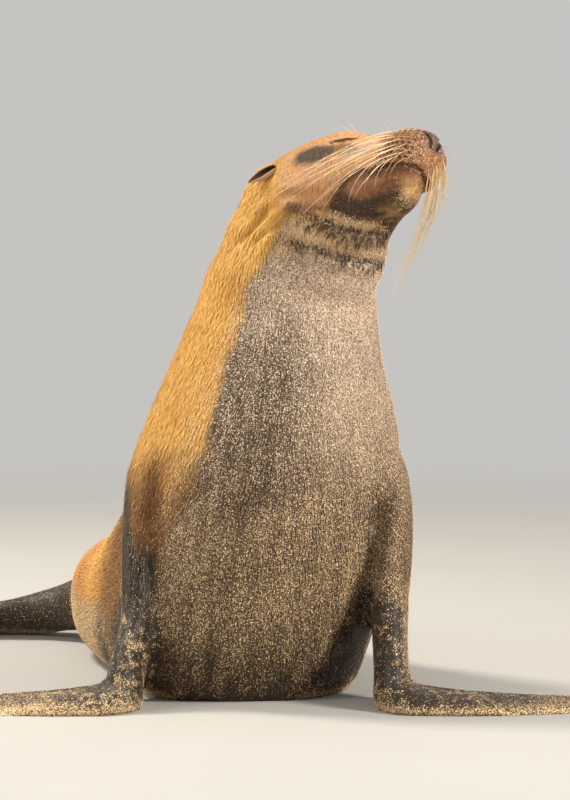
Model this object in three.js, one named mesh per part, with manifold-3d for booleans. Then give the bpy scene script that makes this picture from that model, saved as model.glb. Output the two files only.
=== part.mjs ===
// A sea lion that sits up: its belly rests on the floor, its chest and neck are raised, its head is
// turned to its left with the nose lifted and the eyes closed, and its fore flippers lie flat to
// either side. Millimetres, +Z up. The animal faces -Y, its left is +X, and the origin is on the
// floor under the front of the belly.
import * as THREE from 'three';
import { mergeVertices } from 'three/addons/utils/BufferGeometryUtils.js';
import Module from 'manifold-3d';

const wasm = await Module();
wasm.setup();

// ---------------------------------------------------------------- driving dimensions
const GAP = 0.3;              // air left in every thin cut between two parts
const FLOOR = 0;              // the level of the flats that the animal rests on
const BELOW = -60;            // how deep the floor cutter reaches
const HEAD_AT = [39, 0, 620];   // the point midway between the ear openings
const HEAD_YAW = 40;          // degrees, from the animal's left (+X) toward its front (-Y)
const HEAD_PITCH = 17.5;        // nose lifted
const HEAD_ROLL = 25;         // crown tipped away from the front
const NOSE_REACH = 235;       // nose tip ahead of the ear openings
const EYE_AT = [124, 43, 23];   // forward, sideways, up from the ear openings
const EYE_RADII = [20, 9, 13];  // the dome of the closed lids over the eyeball
const EAR_LENGTH = 34;
const MOUTH_LEVEL = -25;      // the corner of the mouth, below the ear level
const MOUTH_DROP = 0.12;      // fall of the lips toward the nose, for each millimetre forward
const MOUTH_CORNER = 128;     // how far forward the mouth ends
const ELBOW_HEIGHT = 188;     // where the upper arm is parted from the forearm
const ANKLE_SHARE = 0.38;     // the same for leg and hind flipper, as a share of the leg's length
// Cuts across the spine, from tail to head, as shares of its length.
const SPINE_CUTS = { tail: 0.135, hips: 0.37, abdomen: 0.56, chest: 0.755 };
const NAPE_AT = [6, 0, -20];      // a point of the cut between head and neck, in the head's frame
const NAPE_WAY = [0.72, 0, 0.69];   // and the way that the cut faces
const ROOM = 2200;            // larger than the animal in every direction, for cutting tools

const COAT = new THREE.Color(0.42, 0.29, 0.17);
const SANDY = new THREE.Color(0.45, 0.38, 0.31);
const DARK = new THREE.Color(0.06, 0.05, 0.045);
const MUZZLE = new THREE.Color(0.36, 0.2, 0.13);

// ---------------------------------------------------------------- solids
const vec = (a) => new THREE.Vector3(...a);
const radians = THREE.MathUtils.degToRad;
const mix = THREE.MathUtils.lerp;

/** A closed three.js geometry as a manifold solid. */
function solid(geometry) {
  const bare = geometry.clone();
  bare.deleteAttribute('normal');
  bare.deleteAttribute('uv');
  const merged = mergeVertices(bare, 1e-4);
  return new wasm.Manifold(new wasm.Mesh({
    numProp: 3,
    vertProperties: new Float32Array(merged.attributes.position.array),
    triVerts: new Uint32Array(merged.index.array),
  }));
}

/** The largest piece of a solid, without the slivers that a cut can leave. */
function largest(body) {
  const pieces = body.decompose();
  return pieces.reduce((a, b) => (a.volume() > b.volume() ? a : b));
}

const join = (...bodies) => bodies.reduce((a, b) => a.add(b));

/** The half of a solid on the side of a plane that its normal points to, half a gap clear of it. */
const ahead = (body, at, normal, gap = GAP) => body.trimByPlane(normal.toArray(), normal.dot(at) + gap / 2);
const behind = (body, at, normal) => ahead(body, at, normal.clone().negate());

// ---------------------------------------------------------------- lofts
/** A smooth curve through one triple of numbers from each station, read at an even rate. */
const track = (triples) => new THREE.CatmullRomCurve3(triples.map(vec), false, 'catmullrom', 0.5);

/**
 * A closed body through stations. Each station is a section across the line of centres:
 *   at      its centre
 *   half    half the width to either side
 *   up      reach toward the back of the animal, or the upper edge of a flipper
 *   down    reach toward the belly, or the lower edge
 *   square  2 for an ellipse, more for fuller corners
 *   full    the same for the half toward the belly, where it differs
 *   yaw     turn of the side direction about +Z, in degrees
 *   roll    turn of the section about the line of centres, in degrees
 *   sway    sideways shift of the edge toward the belly
 * side is the direction of the left-hand edge before yaw, and grow makes the body larger all round.
 */
function loft(stations, { side = [1, 0, 0], steps = 2, sides = 24, grow = 0, along = null } = {}) {
  const centres = track(stations.map((s) => s.at));
  const reaches = track(stations.map((s) => [s.half, s.up, s.down]));
  const powers = track(stations.map((s) => [s.square ?? 2.1, s.full ?? s.square ?? 2.1, 0]));
  const turns = track(stations.map((s) => [s.yaw ?? 0, s.roll ?? 0, s.sway ?? 0]));
  const rings = (stations.length - 1) * steps;
  const points = [];
  const ends = [];
  for (let i = 0; i <= rings; i += 1) {
    const t = i / rings;
    const centre = centres.getPoint(t);
    const reach = reaches.getPoint(t);
    const turn = turns.getPoint(t);
    const power = powers.getPoint(t);
    const forward = along ? vec(along) : centres.getTangent(t);
    centre.addScaledVector(forward, grow * (Number(i === rings) - Number(i === 0)));
    const left = vec(side).applyAxisAngle(new THREE.Vector3(0, 0, 1), radians(turn.x));
    left.addScaledVector(forward, -left.dot(forward)).normalize();
    left.applyAxisAngle(forward, radians(turn.y));
    const back = new THREE.Vector3().crossVectors(forward, left);
    for (let k = 0; k < sides; k += 1) {
      const angle = (k / sides) * 2 * Math.PI;
      const c = Math.cos(angle);
      const s = Math.sin(angle);
      const shape = 2 / (s > 0 ? power.x : power.y);
      const shift = s < 0 ? -s * turn.z : 0;
      const across = Math.sign(c) * Math.abs(c) ** shape * (reach.x + grow) + shift;
      const high = Math.sign(s) * Math.abs(s) ** shape * ((s > 0 ? reach.y : reach.z) + grow);
      points.push(centre.clone().addScaledVector(left, across).addScaledVector(back, high));
    }
    if (i === 0 || i === rings) ends.push(centre);
  }
  const start = points.push(ends[0]) - 1;
  const end = points.push(ends[1]) - 1;
  const faces = [];
  for (let k = 0; k < sides; k += 1) {
    const next = (k + 1) % sides;
    faces.push(start, next, k, end, rings * sides + k, rings * sides + next);
    for (let i = 0; i < rings; i += 1) {
      const a = i * sides + k;
      const b = i * sides + next;
      faces.push(a, b, b + sides, a, b + sides, a + sides);
    }
  }
  const geometry = new THREE.BufferGeometry().setFromPoints(points);
  geometry.setIndex(faces);
  return geometry;
}

/** An ellipsoid, turned by yaw about +Z. */
function ellipsoid(at, radii, { yaw = 0, pitch = 0, grow = 0, rings = 6 } = {}) {
  const ball = new THREE.SphereGeometry(1, 2 * rings, rings);
  ball.scale(radii[0] + grow, radii[1] + grow, radii[2] + grow);
  ball.rotateY(radians(-pitch));
  ball.rotateZ(radians(yaw));
  ball.translate(...at);
  return ball;
}

// ---------------------------------------------------------------- trunk, neck and tail
// From the tail tip to the inside of the head. The body lies along +Y, bends up over the belly
// and rises as the neck, which turns toward the head.
const SPINE = [
  { at: [-160, 858, 20], half: 9, up: 7, down: 10 },
  { at: [-157, 800, 27], half: 20, up: 13, down: 20 },
  { at: [-150, 725, 42], half: 42, up: 32, down: 46 },
  { at: [-142, 635, 62], half: 86, up: 60, down: 72, square: 2.2 },
  { at: [-133, 545, 76], half: 122, up: 76, down: 86, square: 2.2 },
  { at: [-118, 440, 84], half: 150, up: 88, down: 96, square: 2.2, full: 2.6 },
  { at: [-95, 335, 90], half: 166, up: 94, down: 104, square: 2.2, full: 3.4, sway: -6 },
  { at: [-58, 235, 116], half: 167, up: 108, down: 152, square: 2.2, full: 4.4, sway: -16 },
  { at: [-22, 155, 168], half: 169, up: 132, down: 250, square: 2.1, full: 3.8, sway: -28 },
  { at: [-10, 124, 193], half: 170, up: 138, down: 284, square: 2.1, full: 3.2, sway: -30 },
  { at: [-3, 96, 223], half: 171, up: 140, down: 276, square: 2.1, full: 2.6, sway: -24 },
  { at: [4, 74, 258], half: 173, up: 142, down: 242, square: 2.1, full: 2.3, sway: -12 },
  { at: [14, 40, 335], half: 161, up: 142, down: 205, square: 2.1 },
  { at: [22, 24, 415], half: 135, up: 134, down: 142 },
  { at: [31, 18, 482], half: 116, up: 110, down: 106, yaw: 8 },
  { at: [36, 14, 542], half: 104, up: 94, down: 98, yaw: 20 },
  { at: [33, 8, 596], half: 77, up: 74, down: 86, yaw: 34 },
  { at: [34, 0, 636], half: 50, up: 44, down: 50, yaw: 40 },
];

/** The middle of the spine and its direction at a given share of the way from tail to head. */
function spineCut(share) {
  const centres = track(SPINE.map((s) => s.at));
  return [centres.getPoint(share), centres.getTangent(share)];
}

// ---------------------------------------------------------------- head
// Sections from the back of the skull to the nose, forward along +X, in the head's own frame.
const SKULL = [
  { at: [-66, 0, -18], half: 24, up: 18, down: 20 },
  { at: [-54, 0, -16], half: 42, up: 34, down: 38 },
  { at: [-32, 0, -12], half: 60, up: 53, down: 54 },
  { at: [6, 0, -8], half: 65, up: 62, down: 62, square: 2.1 },
  { at: [45, 0, -6], half: 67, up: 65, down: 66, square: 2.2 },
  { at: [80, 0, -4], half: 66, up: 64, down: 66, square: 2.2 },
  { at: [108, 0, -4], half: 59, up: 58, down: 62, square: 2.2 },
  { at: [134, 0, -5], half: 48, up: 50, down: 57, square: 2.2 },
  { at: [162, 0, -8], half: 40, up: 46, down: 50, square: 2.2 },
  { at: [188, 0, -10], half: 38, up: 44, down: 46, square: 2.3 },
  { at: [210, 0, -10], half: 33, up: 40, down: 42, square: 2.3 },
  { at: [226, 0, -6], half: 24, up: 26, down: 34, square: 2.2 },
  { at: [NOSE_REACH - 3, 0, -3], half: 12, up: 14, down: 20 },
];

// The loose throat, from inside the neck up to the chin, in world coordinates.
const THROAT = [
  { at: [38, 10, 466], half: 70, up: 60, down: 70 },
  { at: [56, -8, 512], half: 74, up: 60, down: 68 },
  { at: [90, -38, 558], half: 70, up: 54, down: 62 },
  { at: [117, -74, 592], half: 48, up: 42, down: 42 },
  { at: [150, -108, 620], half: 33, up: 30, down: 27 },
  { at: [178, -137, 639], half: 23, up: 19, down: 20 },
  { at: [189, -148, 645], half: 12, up: 10, down: 10 },
];

/** The matrix that carries the head's own frame (forward +X, left +Y, up +Z) into the world. */
function headPose() {
  const yaw = radians(HEAD_YAW);
  const pitch = radians(HEAD_PITCH);
  const roll = radians(HEAD_ROLL);
  const forward = vec([Math.cos(pitch) * Math.cos(yaw), -Math.cos(pitch) * Math.sin(yaw), Math.sin(pitch)]);
  const level = new THREE.Vector3(0, 0, 1);
  const up = level.addScaledVector(forward, -forward.z).normalize();
  const left = new THREE.Vector3().crossVectors(up, forward);
  const crown = up.clone().multiplyScalar(Math.cos(roll)).addScaledVector(left, Math.sin(roll));
  const flank = new THREE.Vector3().crossVectors(crown, forward);
  return new THREE.Matrix4().makeBasis(forward, flank, crown).setPosition(...HEAD_AT);
}

const POSE = headPose();
const posed = (geometry) => solid(geometry.applyMatrix4(POSE));
const headPoint = (a) => vec(a).applyMatrix4(POSE);
const headWay = (a) => vec(a).transformDirection(POSE);

const pad = (y) => posed(ellipsoid([198, y, -8], [34, 22, 24]));
const brow = (y) => posed(ellipsoid([106, y, 30], [40, 16, 20], { yaw: y > 0 ? -14 : 14 }));
const nose = (grow) => posed(ellipsoid([224, 0, 8], [12, 22, 17], { grow, pitch: 20 }));
const eye = (y, grow) => posed(
  ellipsoid([EYE_AT[0], y * EYE_AT[1], EYE_AT[2]], EYE_RADII, { grow, yaw: y > 0 ? -24 : 24 }),
);

/** One small rolled ear, which points back and a little down from beside the skull. */
function ear(y, grow) {
  const reach = EAR_LENGTH / Math.hypot(30, 14, 16);
  const stations = [0, 0.35, 0.75, 1].map((share) => ({
    at: [22 - 30 * reach * share, y * (60 + 14 * reach * share), 12 - 16 * reach * share],
    half: mix(5.5, 2, share ** 2),
    up: mix(9, 2.5, share ** 2),
    down: mix(9, 2.5, share ** 2),
  }));
  return posed(loft(stations, { side: [0, 1, 0], steps: 2, sides: 8, grow }));
}

// ---------------------------------------------------------------- limbs
const RIGHT = -1;
const LEFT = 1;

/** The arm from inside the shoulder to the heel of the hand: narrow from the front, deep from the side. */
function arm(way, grow) {
  const x = way === RIGHT ? [-112, -140, -151, -152, -156, -168, -170] : [120, 151, 163, 158, 158, 159, 160];
  const stations = [
    { at: [x[0], 22, 345], half: 34, up: 66, down: 60 },
    { at: [x[1], 14, 270], half: 34, up: 84, down: 88 },
    { at: [x[2], -8, 195], half: 27, up: 84, down: 88 },
    { at: [x[3], -48, 128], half: 25, up: 64, down: 72 },
    { at: [x[4], -82, 80], half: 22, up: 52, down: 58 },
    { at: [x[5], -112, 42], half: 22, up: 52, down: 56 },
    { at: [x[6], -128, 12], half: 24, up: 50, down: 54 },
    { at: [x[6], -130, -14], half: 20, up: 44, down: 48 },
  ];
  return solid(loft(stations.reverse(), { steps: 2, sides: 14, grow }));
}

/** The hand, flat on the floor from its heel to its tip, with a thick front edge. */
function hand(way, grow) {
  const out = way === RIGHT ? -10 : 0;
  const stations = [
    { at: [142, -116, 8], half: 46, up: 16, down: 20 },
    { at: [160, -128, 8], half: 66, up: 26, down: 24 },
    { at: [190, -136, 4], half: 72, up: 24, down: 20 },
    { at: [250, -141, 2], half: 70, up: 18, down: 16 },
    { at: [320, -136, 0], half: 65, up: 15, down: 14 },
    { at: [385, -124, -1], half: 58, up: 12, down: 12 },
    { at: [430, -110, -2], half: 46, up: 10, down: 10 },
    { at: [455, -100, -2], half: 28, up: 7, down: 8 },
    { at: [462, -97, -2], half: 14, up: 5, down: 6 },
  ].map((s) => ({ ...s, at: [way * s.at[0] + out, s.at[1], s.at[2]], square: 2.2 }));
  const ordered = way === LEFT ? stations : stations.reverse();
  return solid(loft(ordered, { side: [0, 1, 0], along: [1, 0, 0], steps: 2, sides: 14, grow }));
}

/** One hind leg and foot, from inside the hip to the toes, turned forward beside the body. */
function hindLeg(stations, grow) {
  return solid(loft(stations, { side: [0, 0, 1], steps: 1, sides: 16, grow }));
}

const HIND_RIGHT = [
  { at: [-150, 420, 78], half: 48, up: 70, down: 70 },
  { at: [-205, 475, 66], half: 48, up: 62, down: 62 },
  { at: [-258, 522, 48], half: 38, up: 48, down: 48 },
  { at: [-310, 548, 34], half: 29, up: 46, down: 46, roll: 20 },
  { at: [-372, 560, 23], half: 17, up: 56, down: 56, roll: 26 },
  { at: [-440, 566, 15], half: 12, up: 66, down: 66, roll: 14 },
  { at: [-505, 570, 5], half: 10, up: 70, down: 70, roll: 4 },
  { at: [-545, 572, 1], half: 7, up: 64, down: 64 },
  { at: [-562, 573, 0], half: 5, up: 48, down: 48 },
];

const HIND_LEFT = [
  { at: [-110, 500, 80], half: 50, up: 66, down: 66 },
  { at: [-75, 560, 62], half: 46, up: 60, down: 60 },
  { at: [-35, 610, 44], half: 34, up: 48, down: 48 },
  { at: [8, 640, 32], half: 24, up: 42, down: 42, roll: -14 },
  { at: [58, 662, 22], half: 14, up: 50, down: 50, roll: -14 },
  { at: [105, 680, 14], half: 11, up: 58, down: 58, roll: -8 },
  { at: [148, 694, 6], half: 9, up: 62, down: 62, roll: -2 },
  { at: [176, 702, 2], half: 7, up: 56, down: 56 },
  { at: [187, 705, 0], half: 5, up: 42, down: 42 },
];

// ---------------------------------------------------------------- whole body, then thin cuts
const ground = new THREE.BoxGeometry(ROOM, ROOM, FLOOR - BELOW);
const floorCutter = solid(ground.translate(0, 0, (FLOOR + BELOW) / 2));
const onFloor = (body) => largest(body.subtract(floorCutter));

const group = new THREE.Group();
group.name = 'sea_lion';

/** Adds one named part to the model. */
function add(name, body, color, roughness = 0.85) {
  const mesh = body.getMesh();
  const geometry = new THREE.BufferGeometry();
  geometry.setAttribute('position', new THREE.BufferAttribute(new Float32Array(mesh.vertProperties), 3));
  geometry.setIndex(new THREE.BufferAttribute(new Uint32Array(mesh.triVerts), 1));
  geometry.computeVertexNormals();
  const part = new THREE.Mesh(geometry, new THREE.MeshStandardMaterial({ color, roughness, metalness: 0 }));
  part.name = name;
  group.add(part);
}

const arms = [RIGHT, LEFT].map((way) => ({ way, body: arm(way, 0), room: arm(way, GAP) }));
const hands = [RIGHT, LEFT].map((way) => ({ way, body: hand(way, 0), room: hand(way, GAP) }));
const legs = [HIND_RIGHT, HIND_LEFT].map((s) => ({ body: hindLeg(s, 0), room: hindLeg(s, GAP) }));

// The turned neck bulges past the skull on the left, and the left ear lies in a hollow there.
const earHollow = posed(ellipsoid([0, 88, 4], [50, 30, 34], { rings: 7 }));
const trunk = solid(loft(SPINE, { sides: 24 })).subtract(earHollow);
const throat = solid(loft(THROAT, { side: headWay([0, 1, 0]).toArray(), sides: 16 }));
const cranium = posed(loft(SKULL, { side: [0, 1, 0], along: [1, 0, 0], sides: 20 }));
const skull = join(cranium, throat, pad(22), pad(-22), brow(33), brow(-33));
const body = join(trunk, skull);

// Head from neck: a plane from the nape to the angle of the jaw.
const nape = headPoint(NAPE_AT);
const napeWay = headWay(NAPE_WAY);
const openings = join(nose(GAP), eye(1, GAP), eye(-1, GAP), ear(1, GAP), ear(-1, GAP));
const head = largest(ahead(body, nape, napeWay).subtract(openings));
const rest = largest(behind(body, nape, napeWay)).subtract(join(ear(1, GAP), ear(-1, GAP)));

// Jaw from head: level along the lips, then down behind the corner of the mouth.
const lip = headPoint([MOUTH_CORNER, 0, MOUTH_LEVEL]);
const lipWay = headWay([-MOUTH_DROP, 0, -1]);
const hingeWay = headWay([1, 0, -0.35]);
const jaw = largest(ahead(ahead(head, lip, lipWay), lip, hingeWay));
const everywhere = solid(new THREE.BoxGeometry(ROOM, ROOM, ROOM));
const jawRoom = ahead(ahead(everywhere, lip, lipWay, -GAP), lip, hingeWay, -GAP);
add('head', largest(head.subtract(jawRoom)), COAT);
add('jaw', jaw, MUZZLE);
add('nose', largest(nose(0)), DARK, 0.5);
[['left', 1], ['right', -1]].forEach(([name, y]) => {
  add(`eye_${name}`, eye(y, 0), MUZZLE);
  add(`ear_${name}`, ear(y, 0), DARK);
});

// Trunk: cut across the spine, and cut by the limbs that grow from it.
const cutters = join(...arms.map((a) => a.room), ...legs.map((l) => l.room));
const joints = Object.values(SPINE_CUTS).map(spineCut);
const names = [...Object.keys(SPINE_CUTS), 'neck'];
names.forEach((name, i) => {
  let piece = rest;
  if (i > 0) piece = ahead(piece, ...joints[i - 1]);
  if (i < joints.length) piece = behind(piece, ...joints[i]);
  add(name, onFloor(piece.subtract(cutters)), name === 'chest' ? SANDY : COAT);
});

// Arms: upper arm, forearm and hand; hind legs: leg and flipper.
const elbow = [vec([0, 0, ELBOW_HEIGHT]), new THREE.Vector3(0, 0, 1)];
arms.forEach(({ way, body: limb }, i) => {
  const name = way === RIGHT ? 'right' : 'left';
  const free = limb.subtract(hands[i].room);
  add(`upper_arm_${name}`, largest(ahead(free, ...elbow)), COAT);
  add(`forearm_${name}`, onFloor(behind(free, ...elbow)), DARK);
  add(`fore_flipper_${name}`, onFloor(hands[i].body), DARK);
});
legs.forEach(({ body: limb }, i) => {
  const name = i === 0 ? 'right' : 'left';
  const line = track((i === 0 ? HIND_RIGHT : HIND_LEFT).map((s) => s.at));
  const ankle = [line.getPoint(ANKLE_SHARE), line.getTangent(ANKLE_SHARE)];
  add(`hind_leg_${name}`, onFloor(behind(limb, ...ankle)), COAT);
  add(`hind_flipper_${name}`, onFloor(ahead(limb, ...ankle)), DARK);
});

export default group;
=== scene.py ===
# %% [markdown]
# # A sea lion that sits up, life size
# The animal sits on its belly with the chest raised, turns its head to its left and closes its eyes.
# Its body is one continuous skin. Over it lies a short coat: golden where it is dry, grey-brown and
# full of pale sand where the animal has lain on the beach, and black on the bare flippers.
# We start by loading the solid model, which sets every size and place.

# %% Load the solid model
import math

import bmesh
import bpy
import numpy as np
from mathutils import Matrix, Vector
from mathutils.bvhtree import BVHTree


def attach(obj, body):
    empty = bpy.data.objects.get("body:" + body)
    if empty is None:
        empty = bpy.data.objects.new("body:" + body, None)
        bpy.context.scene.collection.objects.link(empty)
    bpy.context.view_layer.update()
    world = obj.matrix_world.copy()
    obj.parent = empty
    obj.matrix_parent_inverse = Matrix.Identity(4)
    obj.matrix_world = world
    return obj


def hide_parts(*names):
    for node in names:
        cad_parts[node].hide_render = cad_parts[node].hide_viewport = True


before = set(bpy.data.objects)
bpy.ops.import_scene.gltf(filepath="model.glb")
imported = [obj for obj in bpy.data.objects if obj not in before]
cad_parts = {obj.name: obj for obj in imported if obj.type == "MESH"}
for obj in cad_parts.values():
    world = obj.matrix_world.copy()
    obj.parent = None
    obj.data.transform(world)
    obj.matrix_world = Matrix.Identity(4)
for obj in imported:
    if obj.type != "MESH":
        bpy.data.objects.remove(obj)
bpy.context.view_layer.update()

# %% [markdown]
# ## Landmarks
# The head has its own axes, because it is turned, lifted and tipped: forward to the nose, left and
# up. A point of the face is easiest to state in them. The spine and the limbs are lines through the
# middle of the body. They tell how the hair lies and which part of the body a point belongs to.

# %% Axes of the head and lines through the body
MM = 0.001
HEAD_AT = np.array([39.0, 0.0, 620.0])
HEAD_YAW, HEAD_PITCH, HEAD_ROLL = 40.0, 17.5, 25.0


def head_axes():
    """The head's forward, left and up directions in the world."""
    yaw, pitch, roll = (math.radians(a) for a in (HEAD_YAW, HEAD_PITCH, HEAD_ROLL))
    forward = np.array([math.cos(pitch) * math.cos(yaw), -math.cos(pitch) * math.sin(yaw), math.sin(pitch)])
    level = np.array([0.0, 0.0, 1.0]) - forward * forward[2]
    level /= np.linalg.norm(level)
    side = np.cross(level, forward)
    up = level * math.cos(roll) + side * math.sin(roll)
    return forward, np.cross(up, forward), up


FORWARD, LEFTWARD, UPWARD = head_axes()


def face_point(forward, left, up):
    """A point of the head, in metres, from its distances in millimetres along the head's axes."""
    return (HEAD_AT + forward * FORWARD + left * LEFTWARD + up * UPWARD) * MM


def in_head(points):
    """Distances along the head's axes, in millimetres, of points in metres."""
    off = points / MM - HEAD_AT
    return off @ FORWARD, off @ LEFTWARD, off @ UPWARD


def mm(rows):
    return np.array(rows, float) * MM


SPINE = mm([
    (39, 0, 625), (34, 8, 596), (36, 14, 542), (31, 18, 482), (22, 24, 415), (14, 40, 335),
    (4, 74, 258), (-22, 155, 168), (-58, 235, 116), (-95, 335, 90), (-118, 440, 84),
    (-133, 545, 76), (-142, 635, 62), (-150, 725, 42), (-160, 858, 20),
])
SKULL = np.array([face_point(228, 0, 0), face_point(120, 0, 0), face_point(0, 0, -6), SPINE[1]])
ARM_RIGHT = mm([(-112, 22, 345), (-151, -8, 195), (-156, -82, 80), (-175, -124, 14)])
ARM_LEFT = mm([(120, 22, 345), (163, -8, 195), (158, -82, 80), (165, -124, 14)])
HAND_RIGHT = mm([(-150, -118, 10), (-250, -139, 8), (-365, -128, 6), (-472, -104, 4)])
HAND_LEFT = mm([(140, -118, 10), (240, -139, 8), (355, -128, 6), (462, -104, 4)])
FOOT_RIGHT = mm([(-150, 420, 78), (-258, 522, 48), (-372, 560, 23), (-565, 573, 2)])
FOOT_LEFT = mm([(-110, 500, 80), (-35, 610, 44), (58, 662, 22), (198, 706, 2)])
print("nose tip at", face_point(235, 0, 0).round(3))

# %% [markdown]
# ## One skin
# The solids are cut where a person would name the parts, and a living body has no such cuts. So a
# copy of each solid is grown by a little more than the cut, and a voxel remesh melts the copies into
# one closed surface of even quads. It loses the cuts and the facets, and it is the clay for all that
# follows. Subdivision surfaces could not join the pieces, and booleans would keep the edges.

# %% Melt the solids into one skin
FLESH = [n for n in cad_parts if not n.startswith("ear")]
VOXEL = 7.5 * MM
CUT_FILL = 0.5 * MM


def frozen(obj):
    """The object's mesh with its modifiers applied; the object itself is removed."""
    mesh = bpy.data.meshes.new_from_object(obj.evaluated_get(bpy.context.evaluated_depsgraph_get()))
    bpy.data.objects.remove(obj)
    return mesh


def melted(names, voxel):
    """One closed quad mesh round the named solids, as (points, faces)."""
    shell = bmesh.new()
    for name in names:
        piece = bmesh.new()
        piece.from_mesh(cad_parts[name].data)
        bmesh.ops.remove_doubles(piece, verts=piece.verts, dist=1e-6)
        piece.normal_update()
        for vert in piece.verts:
            vert.co += vert.normal * CUT_FILL
        part = bpy.data.meshes.new("part")
        piece.to_mesh(part)
        shell.from_mesh(part)
        bpy.data.meshes.remove(part)
        piece.free()
    mesh = bpy.data.meshes.new("shell")
    shell.to_mesh(mesh)
    shell.free()
    obj = bpy.data.objects.new("shell", mesh)
    bpy.context.scene.collection.objects.link(obj)
    remesh = obj.modifiers.new("melt", "REMESH")
    remesh.mode = "VOXEL"
    remesh.voxel_size = voxel
    return frozen(obj)


skin_mesh = melted(FLESH, VOXEL)
print("melted skin:", len(skin_mesh.vertices), "points", len(skin_mesh.polygons), "faces")

# %% [markdown]
# ## Smooth it
# The solids show their facets, so the skin is relaxed: each point moves toward the middle of its
# neighbours. The trunk moves the most, and the thin flippers and the muzzle only a little, or they
# would shrink away. After each round comes a step back that is nearly as strong, which keeps the
# volume. The nape is then smoothed again without the step back, because the turned head leaves a shelf.


# %% Relax the skin
def read(items, name, width=1, kind=float):
    """One value of every item of a mesh, such as the place of each point, in rows of that width."""
    flat = np.empty(len(items) * width, kind)
    items.foreach_get(name, flat)
    return flat.reshape(-1, width)


def points_of(mesh):
    return read(mesh.vertices, "co", 3)


def edges_of(mesh):
    return read(mesh.edges, "vertices", 2, int)


def normals_of(mesh):
    return read(mesh.vertex_normals, "vector", 3)


def triangles(mesh):
    return sum(len(p.vertices) - 2 for p in mesh.polygons)


def put_points(mesh, points):
    mesh.vertices.foreach_set("co", points.ravel())
    mesh.update()


def neighbour_mean(values, edges, count):
    total = np.empty_like(values)
    for axis in range(values.shape[1]):
        column = values[:, axis]
        total[:, axis] = np.bincount(edges[:, 0], column[edges[:, 1]], len(values))
        total[:, axis] += np.bincount(edges[:, 1], column[edges[:, 0]], len(values))
    return total / count[:, None]


STEP, STEP_BACK = 0.5, 0.4929


def relax(points, edges, weight, rounds, back=STEP_BACK):
    """Smooths the points by up to their weight, with a step back after each round."""
    count = np.bincount(edges.ravel(), minlength=len(points)).astype(float)
    for _ in range(rounds):
        for size in (STEP, -back):
            points = points + (neighbour_mean(points, edges, count) - points) * (size * weight)[:, None]
    return points


def soft(value, low, high):
    """0 below low, 1 above high, and a smooth rise between them."""
    share = np.clip((value - low) / (high - low), 0, 1)
    return share * share * (3 - 2 * share)


def hump(gap, width, power=2):
    """1 where the gap is nothing, falling smoothly to 0 beyond the width."""
    return np.exp(-((gap / width) ** power))


def along(path, points):
    """Distance of each point to a path, share of the way along it, and the path's direction there."""
    best = np.full(len(points), 1e9)
    share = np.zeros(len(points))
    way = np.zeros_like(points)
    steps = np.linalg.norm(np.diff(path, axis=0), axis=1)
    before = np.concatenate([[0], np.cumsum(steps)]) / steps.sum()
    for k in range(len(path) - 1):
        run = path[k + 1] - path[k]
        t = np.clip(((points - path[k]) @ run) / (run @ run), 0, 1)
        gap = np.linalg.norm(points - path[k] - t[:, None] * run, axis=1)
        near = gap < best
        best[near] = gap[near]
        share[near] = (before[k] + t * (before[k + 1] - before[k]))[near]
        way[near] = run / np.linalg.norm(run)
    return best, share, way


LIMBS = {"arm": (ARM_RIGHT, ARM_LEFT), "hand": (HAND_RIGHT, HAND_LEFT), "foot": (FOOT_RIGHT, FOOT_LEFT)}
GIRTH = {"arm": 55 * MM, "hand": 60 * MM, "foot": 50 * MM}


def belongs(points):
    """How far each point belongs to an arm, a hand and a foot, from 0 to 1."""
    trunk = along(SPINE, points)[0] / (130 * MM)
    share = {}
    for name, pair in LIMBS.items():
        gap = np.minimum(along(pair[0], points)[0], along(pair[1], points)[0]) / GIRTH[name]
        share[name] = soft(trunk - gap, -0.25, 0.35)
    beside = np.maximum(soft(-points[:, 0], 122 * MM, 134 * MM), soft(points[:, 0], 106 * MM, 118 * MM))
    share["hand"] *= beside
    return share


points = points_of(skin_mesh)
limb = belongs(points)
muzzle = soft(in_head(points)[0], 80, 130)
thin = np.maximum.reduce([limb["hand"], limb["foot"], 0.95 * muzzle])
on_floor = points[:, 2] < 3 * MM
weight = np.where(on_floor, 0.0, 1 - 0.8 * thin)
points = relax(points, edges_of(skin_mesh), weight, 16)
NAPE_AT, NAPE_CORE, NAPE_REACH = mm((80, 70, 580)), 54 * MM, 120 * MM
nape = 1 - soft(np.linalg.norm(points - NAPE_AT, axis=1), NAPE_CORE, NAPE_REACH)
put_points(skin_mesh, relax(points, edges_of(skin_mesh), nape, 120, back=0))
print("relaxed", int((weight > 0).sum()), "points, and the nape again:", int((nape > 0).sum()))

# %% [markdown]
# ## Finer clay where it counts
# Lids, lips and nostrils need faces of about a millimetre, and the back of a body doesn't. So only
# the faces of chosen regions are split in four: once on head, hands and feet, again on the face, and
# a third time at eyes, lips and nostrils. Each time they are relaxed a little, so that the new points
# leave the flat faces that they were born in.


# %% Split the faces of the head, hands and feet
def split(mesh, chosen):
    """Splits in four each face whose corners are all chosen, and returns all the points."""
    finer = bmesh.new()
    finer.from_mesh(mesh)
    picked = [e for e in finer.edges if chosen[e.verts[0].index] and chosen[e.verts[1].index]]
    bmesh.ops.subdivide_edges(finer, edges=picked, cuts=1, use_grid_fill=True)
    finer.to_mesh(mesh)
    finer.free()
    return points_of(mesh)


def head_zone(points, back, low):
    """The part of the skin round the head, from back (mm ahead of the ears) and above low."""
    f, l, u = in_head(points)
    return (f > back) & (u > low - 0.1 * f) & (np.abs(l) < 95) & (f < 250)


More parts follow.
